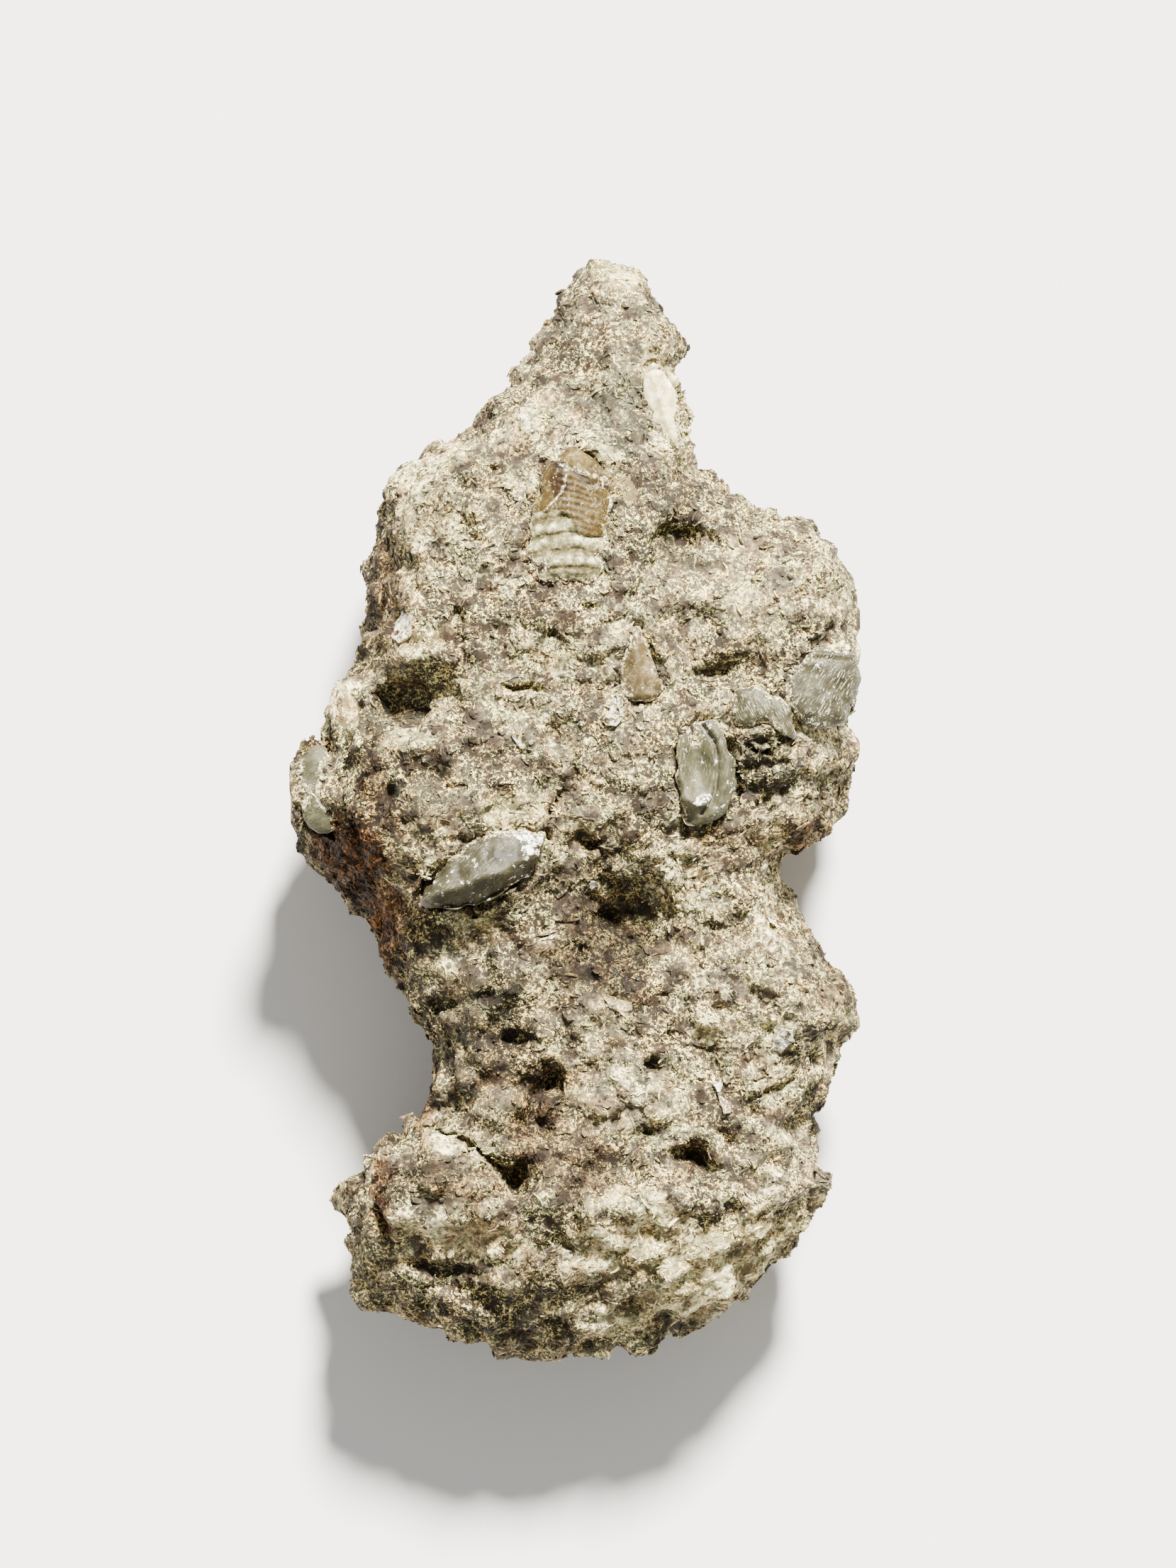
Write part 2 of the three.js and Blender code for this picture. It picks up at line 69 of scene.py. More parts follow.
TRILOBITE_PLAN = [              # y, left side, right side
    (25.6, -0.6, 0.3), (25.0, -1.3, 1.1), (23.9, -2.0, 2.0), (22.7, -2.5, 2.5), (21.4, -2.9, 2.6),
    (20.2, -3.0, 2.5), (19.2, -3.1, 2.3), (17.9, -3.1, 2.2), (16.9, -2.9, 2.0), (16.1, -2.3, 1.5)]
TRILOBITE_GRID = (64, 110)      # faces across and along
TRILOBITE_CROWN = 0.9           # rise of its middle over its sides
TRILOBITE_FLAT = 2.3            # 2 gives a round back, and more a flatter one
TRILOBITE_FADE = ((16.1, 17.0), (24.6, 25.6))   # y over which its back runs out at both ends
TRILOBITE_MARGIN = (0.45, 0.9)  # depth and size of the bites in its sides
BED_DEPTH = 0.45                # its sides lie this far below the top of its CAD node less the crown
BED_FALL = 0.05                 # fall of its bed for each mm towards the lump's peak
BED_MIDDLE = 17.5               # y at which the bed has that depth
TRILOBITE_LIP = 0.15            # its border is bent down by this much
TRILOBITE_SINK = 1.3            # how deep its block goes into the stone
CUTICLE_EDGE = (20.95, 19.4)    # y of the cuticle's broken lower edge on the left and right
CUTICLE_TURN = (-0.7, 0.6)      # x between which that edge goes from one to the other
CUTICLE_THICK = 0.16
CUTICLE_SEAM = (23.75, 0.5, 0.10)   # the seam below the end piece: y, slope and depth
FINE_RIB = (0.46, 0.28, 0.026)  # ribs on the cuticle: spacing, slope and height
FINE_START = (-1.6, -1.2)       # x over which they rise, because they don't reach its left side
BROAD_RIB = (1.20, 0.34, 15.85) # ribs on the filling: spacing, height and y of the first groove
KNOB_GROOVES = (-2.0, -0.6, 0.7)    # x of the long grooves that part the ribs into knobs
TIP = (0.2, 24.6, 0.95, 0.75)   # the smooth end piece of the cuticle: x, y and half sizes
DARK_PIECE = (-1.15, 23.2, 0.6, 1.2)    # the darkest piece of the cuticle: x, y and half sizes
CUTICLE_CRACKS = (              # stone shows in these: half width, strength, then their points
    (0.17, 0.9, (-1.9, 25.2), (-0.6, 24.1), (0.7, 23.7), (1.9, 23.3), (2.8, 22.6)),
    (0.08, 0.8, (-0.7, 23.6), (-0.85, 22.5), (-1.4, 21.9), (-2.2, 21.0)))

# Shades from dark to pale, each with its place on the ramp, and the colours that stains and the painted
# groove shade multiply by.
CUTICLE_SHADES = ((0.3, (0.024, 0.0155, 0.0035)), (0.5, (0.048, 0.030, 0.005)),
                  (0.7, (0.097, 0.064, 0.0135)))
END_PIECE_SHADES = ((0.3, (0.048, 0.0335, 0.0068)), (0.7, (0.112, 0.079, 0.017)))
FILLING_SHADES = ((0.34, (0.055, 0.053, 0.024)), (0.5, (0.22, 0.205, 0.105)), (0.66, (0.85, 0.79, 0.48)))
CRUST_SHADES = ((0.38, (0.040, 0.033, 0.019)), (0.50, (0.13, 0.108, 0.060)), (0.62, (0.85, 0.74, 0.42)))
CRUST_THREADS = (0.95, 0.84, 0.52)
DARK_PIECE_STAIN = (0.36, 0.27, 0.22)
# Painted shade, multiplied into the grooves between the ribs and knobs and into the seam.
GROOVE_SHADE = (0.20, 0.165, 0.075)
CRUST_GLOSS = (0.8, 0.8, 0.8)


def smooth(value, start, end):
    """0 below start and 1 above end, with a soft change between them. Works on arrays too."""
    part = np.clip((value - start) / (end - start), 0.0, 1.0)
    return part * part * (3.0 - 2.0 * part)


def noise_at(points, size, seed):
    """Smooth noise from about -1 to 1 at an array of points in mm, with lumps of that size."""
    offset = Vector((seed * 7.13, seed * 3.71, seed * 5.39))
    return np.array([noise.noise(Vector(point) / size + offset) for point in points])


def read_points(mesh):
    """The vertices of a mesh as an array in mm."""
    points = np.empty(len(mesh.vertices) * 3)
    mesh.vertices.foreach_get("co", points)
    return points.reshape(-1, 3) / MM


def write_points(mesh, points):
    """Moves the vertices of a mesh to an array of points in mm."""
    mesh.vertices.foreach_set("co", (points * MM).astype(np.float32).ravel())
    mesh.update()


def write_values(mesh, name, values):
    """Stores one number for each vertex, for the material to read."""
    layer = mesh.attributes.new(name, "FLOAT", "POINT")
    layer.data.foreach_set("value", np.asarray(values, np.float32))


def seam_height(points, half_width, height, *path):
    """A crack or a raised edge along a path of straight stretches."""
    nearest = np.full(len(points), 1e9)
    for start, end in zip(path, path[1:]):
        start, end = np.array(start), np.array(end)
        along = end - start
        share = np.clip((points[:, :2] - start) @ along / (along @ along), 0, 1)
        gap = points[:, :2] - start - share[:, None] * along
        nearest = np.minimum(nearest, np.hypot(gap[:, 0], gap[:, 1]))
    return height * np.exp(-(nearest / half_width) ** 2)


def box_mm(node):
    """The low and the high corner of a CAD node's box, as arrays in mm."""
    low, high = (np.array(corner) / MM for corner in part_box(node))
    return low, high


def made_mesh(body, name):
    """Ends a bmesh by turning it into a mesh."""
    mesh = bpy.data.meshes.new(name)
    body.to_mesh(mesh)
    body.free()
    return mesh


def vertices_in(result):
    """The vertices that an extrusion gave."""
    return [item for item in result["geom"] if isinstance(item, bmesh.types.BMVert)]


def placed(name, data):
    """A new object in the scene."""
    thing = bpy.data.objects.new(name, data)
    bpy.context.scene.collection.objects.link(thing)
    return thing


def finish_piece(mesh, name, material, node=None):
    """Turns a mesh into a piece of the specimen, which rides on its one body."""
    mesh.shade_smooth()
    mesh.materials.clear()
    mesh.materials.append(material)
    piece = placed(name, mesh)
    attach(piece, "root")
    if node:
        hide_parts(node)
    return piece


class Finish:
    """A node material that is built up a node at a time. Patterns are measured in mm."""

    def __init__(self, name):
        self.material = bpy.data.materials.new(name)
        self.material.use_nodes = True
        self.tree = self.material.node_tree
        self.shader = self.tree.nodes["Principled BSDF"]
        place = self.tree.nodes.new("ShaderNodeTexCoord")
        self.place = self.drawn_out(1, 0, place.outputs["Object"], MM)

    def add(self, kind, **inputs):
        """A node with some of its sockets set, by number or by a wire."""
        node = self.tree.nodes.new(kind)
        for name, value in inputs.items():
            self.set(node.inputs[name.replace("_", " ")], value)
        return node

    def set(self, socket, value):
        """Joins a wire to a socket, or sets the socket's own value."""
        if isinstance(value, bpy.types.NodeSocket):
            self.tree.links.new(value, socket)
        elif socket.type == "RGBA":
            socket.default_value = (*value, 1.0)
        else:
            socket.default_value = value

    def drawn_out(self, times, turn, place=None, unit=1.0):
        """The place, for patterns drawn out some times in length along a turn from X."""
        node = self.add("ShaderNodeMapping", Vector=place or self.place)
        node.vector_type = "TEXTURE"
        node.inputs["Rotation"].default_value = (0, 0, math.radians(turn))
        node.inputs["Scale"].default_value = (times * unit, unit, unit)
        return node.outputs["Vector"]

    def noise(self, size, detail, roughness, place=None):
        """Cloudy noise from 0 to 1 with patches of about that size."""
        node = self.add("ShaderNodeTexNoise", Vector=place or self.place, Scale=1 / size,
                        Detail=detail, Roughness=roughness)
        return node.outputs["Fac"]

    def threads(self, size, width, place=None):
        """Thin wandering lines, like the edges of broken shells: 1 on a line and 0 beside it."""
        level = self.noise(size, 3.0, 0.58, place)
        gap = self.sums(self.sums(level, "SUBTRACT", 0.5), "ABSOLUTE", 0.0)
        return self.ramp(gap, (width * 0.35, 1.0), (width, 0.0))

    def cells(self, size, place):
        """Grains that fit together, each with a shade of its own."""
        return self.add("ShaderNodeTexVoronoi", Vector=place, Scale=1 / size).outputs["Color"]

    def bend(self, amount, size):
        """The place pushed about by noise, so that cells and bands lose their straight sides."""
        push = self.add("ShaderNodeTexNoise", Vector=self.place, Scale=1 / size, Detail=2.0)
        centred = self.vectors("SUBTRACT", push.outputs["Color"], (0.5, 0.5, 0.5))
        return self.vectors("MULTIPLY_ADD", centred, (amount,) * 3, self.place)

    def vectors(self, operation, *values):
        """One step of arithmetic on places."""
        node = self.tree.nodes.new("ShaderNodeVectorMath")
        node.operation = operation
        for socket, value in zip(node.inputs, values):
            self.set(socket, value)
        return node.outputs["Vector"]

    def ramp(self, value, *stops):
        """A colour ramp: each stop is (position, colour) or (position, grey)."""
        node = self.add("ShaderNodeValToRGB", Fac=value)
        elements = node.color_ramp.elements
        while len(elements) < len(stops):
            elements.new(0.5)
        for element, (position, colour) in zip(elements, stops):
            element.position = position
            shade = colour if isinstance(colour, tuple) else (colour,) * 3
            element.color = (*shade, 1.0)
        return node.outputs["Color"]

    def patches(self, size, detail, roughness, *stops, place=None):
        """A colour ramp over noise."""
        return self.ramp(self.noise(size, detail, roughness, place), *stops)

    def mix(self, share, first, second, blend="MIX"):
        """Two colours mixed, or with MULTIPLY the first one stained by the second."""
        node = self.tree.nodes.new("ShaderNodeMix")
        node.data_type = "RGBA"
        node.blend_type = blend
        self.set(node.inputs["Factor"], share)
        self.set(node.inputs[6], first)
        self.set(node.inputs[7], second)
        return node.outputs[2]

    def sums(self, first, operation, second):
        """One step of arithmetic."""
        node = self.tree.nodes.new("ShaderNodeMath")
        node.operation = operation
        self.set(node.inputs[0], first)
        self.set(node.inputs[1], second)
        return node.outputs["Value"]

    def swing(self, value, weight):
        """A value from 0 to 1 turned into a swing to both sides of 0."""
        return self.sums(self.sums(value, "SUBTRACT", 0.5), "MULTIPLY", weight)

    def value(self, name, output="Fac"):
        """What a mesh stores under a name."""
        node = self.tree.nodes.new("ShaderNodeAttribute")
        node.attribute_name = name
        return node.outputs[output]

    def bump(self, height, distance, strength, under=None):
        """A relief in the light, its distance in mm, on top of the one under it."""
        node = self.add("ShaderNodeBump", Height=height, Distance=distance * MM, Strength=strength)
        if under:
            self.set(node.inputs["Normal"], under)
        return node.outputs["Normal"]

    def crusted(self, colour, gloss, threads, bare=0.0):
        """Stone and pale threads that still cling to a fossil, thickest towards its edges.
        Returns the colour, the roughness and the mask."""
        ragged = self.sums(self.noise(0.55, 5.0, 0.7), "MULTIPLY", 1.7)
        reach = self.sums(self.sums(self.value("crust"), "ADD", ragged), "SUBTRACT", 1.35)
        reach = self.sums(reach, "MAXIMUM", bare)
        crust = self.ramp(reach, (0.0, 0.0), (0.12, 1.0))
        colour = self.mix(crust, colour, self.patches(0.20, 4.0, 0.7, *CRUST_SHADES))
        lines = self.sums(self.threads(0.45, 0.045), "MULTIPLY",
                          self.patches(0.8, 3.0, 0.7, (0.48, 0.0), (0.60, 1.0)))
        share = self.sums(self.sums(self.value("crust"), "MULTIPLY", 1.2), "ADD", threads)
        lines = self.sums(lines, "MULTIPLY", share)
        colour = self.mix(lines, colour, CRUST_THREADS)
        mask = self.sums(crust, "MAXIMUM", lines)
        return colour, self.mix(mask, gloss, CRUST_GLOSS), mask

    def done(self, **inputs):
        """Sets the shader's sockets and gives the material."""
        for name, value in inputs.items():
            self.set(self.shader.inputs[name.replace("_", " ")], value)
        return self.material


def side_of_trilobite(y, column):
    """The x of one side of its plan at each y: column 1 is the left side and 2 the right."""
    rows = np.array(sorted(TRILOBITE_PLAN))
    return np.interp(y, rows[:, 0], rows[:, column])


def oval_reach(x, y, oval):
    """How far points lie from the middle of an oval, where its edge is at 1."""
    return np.hypot((x - oval[0]) / oval[2], (y - oval[1]) / oval[3])


def trilobite_surface(across, y):
    """The x, the height, and the shares of cuticle, tip, painted groove shade, crack and dark piece."""
    left, right = side_of_trilobite(y, 1), side_of_trilobite(y, 2)
    x = left + (right - left) * (across + 1) / 2
    bite, bite_size = TRILOBITE_MARGIN
    margin = noise_at(np.stack([np.sign(across), y, np.zeros_like(x)], 1), bite_size, 9)
    x += bite * margin * np.abs(across) ** 4
    spots = np.stack([x, y, np.zeros_like(x)], 1)
    wander, ragged = noise_at(spots, 1.5, 3), noise_at(spots, 0.45, 5)
    ends = np.minimum(smooth(y, *TRILOBITE_FADE[0]), 1 - smooth(y, *TRILOBITE_FADE[1]))
    arch = TRILOBITE_CROWN * (1 - np.abs(across) ** TRILOBITE_FLAT) * (0.25 + 0.75 * ends)
    edge = CUTICLE_EDGE[0] + (CUTICLE_EDGE[1] - CUTICLE_EDGE[0]) * smooth(x, *CUTICLE_TURN)
    edge += 0.35 * wander + 0.25 * ragged
    cuticle = smooth(y, edge - 0.03, edge + 0.03)
    tip = 1 - smooth(oval_reach(x, y, TIP) + 0.2 * ragged, 0.8, 1.1)
    seam_y, seam_slope, seam_depth = CUTICLE_SEAM
    seam = cuticle * (1 - smooth(np.abs(y - seam_y + seam_slope * x + 0.5 * wander), 0.1, 0.3))
    spacing, slope, height = FINE_RIB
    fine = np.cos(2 * math.pi * (y + slope * x + 0.03 * x ** 2 + 0.22 * wander) / spacing)
    fine *= smooth(x + 0.3 * ragged, *FINE_START) * (1 - tip)
    broad_spacing, broad_height, broad_start = BROAD_RIB
    turns = (y - broad_start) / broad_spacing + 0.20 * wander + 0.04 * (x + 0.5) ** 2
    row = np.abs(np.sin(math.pi * turns))
    column = np.ones_like(x)
    for groove_x in KNOB_GROOVES:
        column = np.minimum(column, smooth(np.abs(x - groove_x + 0.4 * wander), 0.0, 0.5))
    knobs = row ** 0.8 * (0.72 + 0.28 * column) * (0.85 + 0.5 * noise_at(spots, 0.8, 7))
    relief = cuticle * (CUTICLE_THICK + height * fine - seam_depth * seam)
    relief += (1 - cuticle) * broad_height * (knobs - 0.6)
    # Painted shade in the grooves: strongest between the knobs of the filling, weaker between the fine ribs.
    groove = (1 - cuticle) * (1 - smooth(knobs, 0.35, 0.85)) + cuticle * 0.4 * smooth(-fine, 0.1, 1.0)
    cracks = np.zeros_like(x)
    for crack in CUTICLE_CRACKS:
        cracks = np.maximum(cracks, seam_height(spots + 0.25 * ragged[:, None], *crack))
    dark = 1 - smooth(oval_reach(x, y, DARK_PIECE) + 0.3 * ragged, 0.9, 1.1)
    relief += 0.05 * noise_at(spots, 0.4, 8) + 0.08 * wander
    rise = arch + relief * (1 - np.abs(across) ** 6)
    return x, rise, cuticle, tip, np.maximum(groove, seam), cracks * cuticle, dark


def make_trilobite():
    """A grid drawn out to the plan and raised, then pulled down round its border and closed."""
    body = bmesh.new()
    bmesh.ops.create_grid(body, x_segments=TRILOBITE_GRID[0], y_segments=TRILOBITE_GRID[1], size=1.0)
    points = np.array([vertex.co for vertex in body.verts])
    across, along = points[:, 0], points[:, 1]
    y = np.interp(along, (-1, 1), (TRILOBITE_PLAN[-1][0], TRILOBITE_PLAN[0][0]))
    x, rise, *values = trilobite_surface(across, y)
    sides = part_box("trilobite")[1].z / MM - TRILOBITE_CROWN - BED_DEPTH
    bed = sides + BED_FALL * (BED_MIDDLE - y)
    border = np.array([vertex.is_boundary for vertex in body.verts])
    for vertex, px, py, pz, edge in zip(body.verts, x, y, bed + rise, border):
        vertex.co = Vector((px, py, pz - (TRILOBITE_LIP if edge else 0))) * MM
    rim = [edge for edge in body.edges if edge.is_boundary]
    wall = vertices_in(bmesh.ops.extrude_edge_only(body, edges=rim))
    bmesh.ops.translate(body, verts=wall, vec=(0, 0, -TRILOBITE_SINK * MM))
    loop = [edge for edge in body.edges if edge.is_boundary]
    bmesh.ops.holes_fill(body, edges=loop, sides=0)
    bmesh.ops.recalc_face_normals(body, faces=body.faces)
    mesh = made_mesh(body, "trilobite_fossil")
    for name, layer in zip(("cuticle", "tip", "groove", "cracks", "dark"), values):
        write_values(mesh, name, np.append(layer, np.zeros(len(mesh.vertices) - len(layer))))
    return mesh


def trilobite_finish():
    """Streaked brown cuticle over worn cream filling, with painted shade in the grooves."""
    paint = Finish("trilobite_cuticle")
    streaks = paint.noise(0.25, 4.0, 0.65, paint.drawn_out(2.5, 80))
    cuticle = paint.ramp(streaks, *CUTICLE_SHADES)
    end_piece = paint.ramp(streaks, *END_PIECE_SHADES)
    cuticle = paint.mix(paint.value("tip"), cuticle, end_piece)
    shaded = paint.mix(1.0, cuticle, DARK_PIECE_STAIN, "MULTIPLY")
    cuticle = paint.mix(paint.value("dark"), cuticle, shaded)
    filling = paint.patches(0.55, 5.0, 0.72, *FILLING_SHADES)
    colour = paint.mix(paint.value("cuticle"), filling, cuticle)
    # Painted shade in the grooves and the seam.
    dirt_and_painted_shade = paint.mix(0.9, colour, GROOVE_SHADE, "MULTIPLY")
    colour = paint.mix(paint.value("groove"), colour, dirt_and_painted_shade)
    gloss = paint.ramp(paint.value("cuticle"), (0.0, 0.7), (1.0, 0.55))
    flaked = paint.patches(0.7, 5.0, 0.75, (0.63, 0.0), (0.66, 1.0))
    flaked = paint.sums(flaked, "MULTIPLY", paint.value("cuticle"))
    torn = paint.sums(paint.noise(0.4, 4.0, 0.7), "ADD", paint.value("cracks"))
    gaps = paint.ramp(torn, (0.80, 0.0), (1.0, 1.0))
    flaked = paint.sums(flaked, "MAXIMUM", paint.sums(gaps, "MULTIPLY", paint.value("cuticle")))
    colour, gloss, crust = paint.crusted(colour, gloss, 0.15, flaked)
    skin = paint.bump(paint.noise(0.14, 3.0, 0.7), 0.06, 0.6)
    skin = paint.bump(crust, 0.06, 0.8, skin)
    return paint.done(Base_Color=colour, Roughness=gloss, Normal=skin, Specular_IOR_Level=0.2)


fossils = {"trilobite": finish_piece(make_trilobite(), "trilobite_fossil", trilobite_finish(),
                                     "trilobite")}

# ---- Grey brachiopod shells --------------------------------------------------------------
# Five small smooth shells, 5 to 10 mm wide, of dense grey calcite with a waxy gloss. They
# are finely scratched, and crusted with chalk in places. Each one is fixed in the stone, and
# only part of it shows.

WHOLE_BOX = [np.array(corner) / MM for corner in cad_box]     # what no piece may reach out of
SHELL_LEVELS = 3                # each round of rounding makes four faces of one
BEARING_STEP = 5                # degrees between the bearings at which an outline is measured
PLAN_STEPS = 30                 # points measured along each side of a plan
GROWTH_LINES = (0.55, 0.006)    # spacing and height of the fine lines round the beak
SHELL_DENTS = ((0.22, 1.7, 2), (0.07, 0.6, 4))      # height, size and kind of the dents all over
FLANK_DENTS = (0.35, 0.9, 5)    # the same for the dents on the flanks
CALCITE_SHADES = (              # place on the ramp, colour, how much of a shell's own shade its blue takes
    (0.32, (0.017, 0.0152, 0.0055), 0.5), (0.50, (0.032, 0.029, 0.0135), 0.6),
    (0.68, (0.057, 0.051, 0.026), 0.6))
SCRATCHES = (0.50, 0.475, 0.33)
SHELL_CHALK = (0.92, 0.89, 0.78)
SHELL_GLOSS = (0.48, 0.48, 0.48)

SHELLS = {      # node: beak x, y; fullness; share of chalk; share of scratches; own shade; their turn
    "brachiopod_keeled": ((-2.2, -1.9), 0.75, 0.45, 0.25, -0.009, 42),
    "brachiopod_curled": ((7.6, 2.6), 0.6, 0.45, 0.25, 0.018, 80),
    "brachiopod_cracked": ((15.2, 4.6), 0.7, 0.20, 0.90, 0.004, 120),
    "brachiopod_edge": ((14.6, 8.2), 0.5, 0.20, 1.00, -0.004, 58),
    "brachiopod_ledge": ((-17.0, 4.2), 0.6, 0.05, 0.30, 0.012, 20),
}
SHELL_PLANS = {     # the outline that each one has from above; the others keep that of their node
    "brachiopod_keeled": ((-11.0, -6.5), (-9.7, -4.4), (-7.6, -2.1), (-6.0, -1.1), (-3.8, -0.9),
                          (-2.3, -1.4), (-2.4, -3.0), (-3.5, -4.7), (-4.8, -5.7), (-6.8, -6.5), (-8.8, -6.8)),
    "brachiopod_curled": ((8.4, 6.4), (9.5, 6.5), (10.5, 5.4), (11.2, 3.7), (11.1, 1.9), (10.6, 0.0),
                          (9.6, -1.0), (8.5, -1.1), (7.7, -0.6), (7.5, 1.0), (7.1, 2.6), (7.1, 4.6),
                          (7.5, 5.8)),
    "brachiopod_cracked": ((10.9, 7.6), (11.4, 8.6), (12.8, 8.8), (14.4, 8.0), (15.3, 6.7), (15.6, 5.0),
                           (15.0, 4.7), (14.3, 5.8), (13.2, 6.1), (11.9, 5.7), (11.0, 6.3)),
    "brachiopod_edge": ((15.0, 11.1), (17.3, 11.5), (19.4, 11.2), (20.1, 9.6), (19.6, 7.6), (18.9, 6.1),
                        (17.2, 5.7), (15.9, 6.1), (14.9, 7.7), (14.5, 9.4)),
}
# Ridges and grooves on them: half width, height, then the points that they pass through.
SHELL_SEAMS = {
    "brachiopod_keeled": (
        (0.50, 0.35, (-10.6, -6.2), (-8.8, -5.6), (-7.0, -4.9), (-5.0, -4.3), (-3.6, -3.4), (-2.5, -2.4)),
        (0.90, -0.75, (-8.6, -6.8), (-6.6, -6.3), (-4.8, -5.5), (-3.6, -4.7))),
    "brachiopod_curled": (
        (0.42, 0.40, (9.4, 6.3), (10.4, 5.0), (10.75, 3.6), (10.65, 1.9), (10.2, 0.3), (9.3, -0.6)),
        (0.14, -0.30, (9.0, 6.0), (9.8, 4.8), (10.05, 3.4), (9.9, 1.6), (9.5, 0.5), (8.9, -0.2)),
        (0.75, -0.60, (8.5, 5.3), (8.4, 4.2), (8.4, 3.0)),
        (0.50, -0.60, (7.9, 0.0), (7.9, -0.6)),
        (0.60, 0.45, (7.6, 5.4), (7.3, 4.0), (7.4, 2.4), (7.6, 1.0)),
        (0.45, 0.45, (8.1, 0.6), (9.1, 0.5))),
    "brachiopod_edge": (
        (0.12, 0.14, (15.0, 10.9), (17.0, 11.1), (19.4, 10.9)),
        (0.14, -0.16, (15.0, 10.5), (17.0, 10.7), (19.4, 10.5))),
    "brachiopod_cracked": (
        (0.05, -0.12, (12.2, 8.6), (12.6, 7.4), (12.9, 6.2)),
        (0.05, -0.12, (13.9, 8.2), (13.9, 6.9), (14.4, 6.1))),
}


def node_copy(node, grow=0.0):
    """A bmesh copy of a CAD node with its loose triangles joined, grown along its normals."""
    body = bmesh.new()
    body.from_mesh(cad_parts[node].data)
    bmesh.ops.remove_doubles(body, verts=body.verts, dist=0.001 * MM)
    body.normal_update()
    for vertex, normal in [(vertex, vertex.normal.copy()) for vertex in body.verts]:
        vertex.co += normal * grow * MM
    return body


def baked(body, name, **modifier):
    """The mesh of a bmesh after one modifier."""
    holder = placed(name, made_mesh(body, name))
    change = holder.modifiers.new("change", modifier.pop("kind"))
    for key, value in modifier.items():
        setattr(change, key, value)
    depsgraph = bpy.context.evaluated_depsgraph_get()
    result = bpy.data.meshes.new_from_object(holder.evaluated_get(depsgraph))
    bpy.data.objects.remove(holder)
    return result


def fit_box(points, node):
    """Draws points back out to the box of their CAD node, which rounding shrinks a little."""
    low, high = box_mm(node)
    start, end = points.min(0), points.max(0)
    return low + (points - start) / (end - start) * (high - low)


def reach_by_bearing(spots, middle):
    """The greatest reach of some points from a middle, at each of a ring of bearings."""
    away = spots - middle
    count = 360 // BEARING_STEP
    sector = np.floor(np.degrees(np.arctan2(away[:, 1], away[:, 0])) / BEARING_STEP).astype(int) % count
    reach = np.zeros(count)
    np.maximum.at(reach, sector, np.hypot(away[:, 0], away[:, 1]))
    return (np.roll(reach, 1) + 2 * reach + np.roll(reach, -1)) / 4


def draw_to_plan(points, plan):
    """Moves points sideways so that their outline from above becomes the plan."""
    corners = np.array(plan)
    sides = [start + (end - start) * np.linspace(0, 1, PLAN_STEPS, False)[:, None]
             for start, end in zip(corners, np.roll(corners, -1, 0))]
    ring = np.concatenate(sides)
    middle, wanted_middle = (points.min(0) + points.max(0))[:2] / 2, (ring.min(0) + ring.max(0)) / 2
    growth = reach_by_bearing(ring, wanted_middle) / reach_by_bearing(points[:, :2], middle)
    away = points[:, :2] - middle
    bearings = np.radians((np.arange(len(growth)) + 0.5) * BEARING_STEP)
    scale = np.interp(np.arctan2(away[:, 1], away[:, 0]), bearings, growth, period=2 * math.pi)
    points[:, :2] = wanted_middle + away * scale[:, None]
    return points


def normals_of(mesh):
    """The direction in which each vertex faces."""
    found = np.empty(len(mesh.vertices) * 3)
    mesh.vertices.foreach_get("normal", found)
    return found.reshape(-1, 3)


def make_shell(node, beak, fullness, seams):
    """The CAD node rounded and drawn to its plan, with growth lines, dents and ridges. A
    fullness below 1 lifts its flanks towards its crown."""
    mesh = baked(node_copy(node), node + "_shell", kind="SUBSURF", levels=SHELL_LEVELS,
                 render_levels=SHELL_LEVELS)
    points = fit_box(read_points(mesh), node)
    low, high = points[:, 2].min(), points[:, 2].max()
    points[:, 2] = low + (high - low) * ((points[:, 2] - low) / (high - low)) ** fullness
    if node in SHELL_PLANS:
        points = draw_to_plan(points, SHELL_PLANS[node])
    write_points(mesh, points)
    normals = normals_of(mesh)
    spacing, line_height = GROWTH_LINES
    reach = np.hypot(points[:, 0] - beak[0], points[:, 1] - beak[1])
    lines = np.sin(2 * math.pi * (reach + 0.5 * noise_at(points, 2.0, 1)) / spacing)
    lines *= smooth(noise_at(points, 1.5, 6), -0.2, 0.3)
    dents = sum(height * noise_at(points, size, kind) for height, size, kind in SHELL_DENTS)
    height, size, kind = FLANK_DENTS
    dents += height * (1 - np.abs(normals[:, 2])) * noise_at(points, size, kind)
    points += normals * (line_height * lines + dents)[:, None]
    for seam in seams:
        points[:, 2] += seam_height(points, *seam) * smooth(normals[:, 2], 0.0, 0.3)
    write_points(mesh, np.clip(points, *WHOLE_BOX))
    return mesh


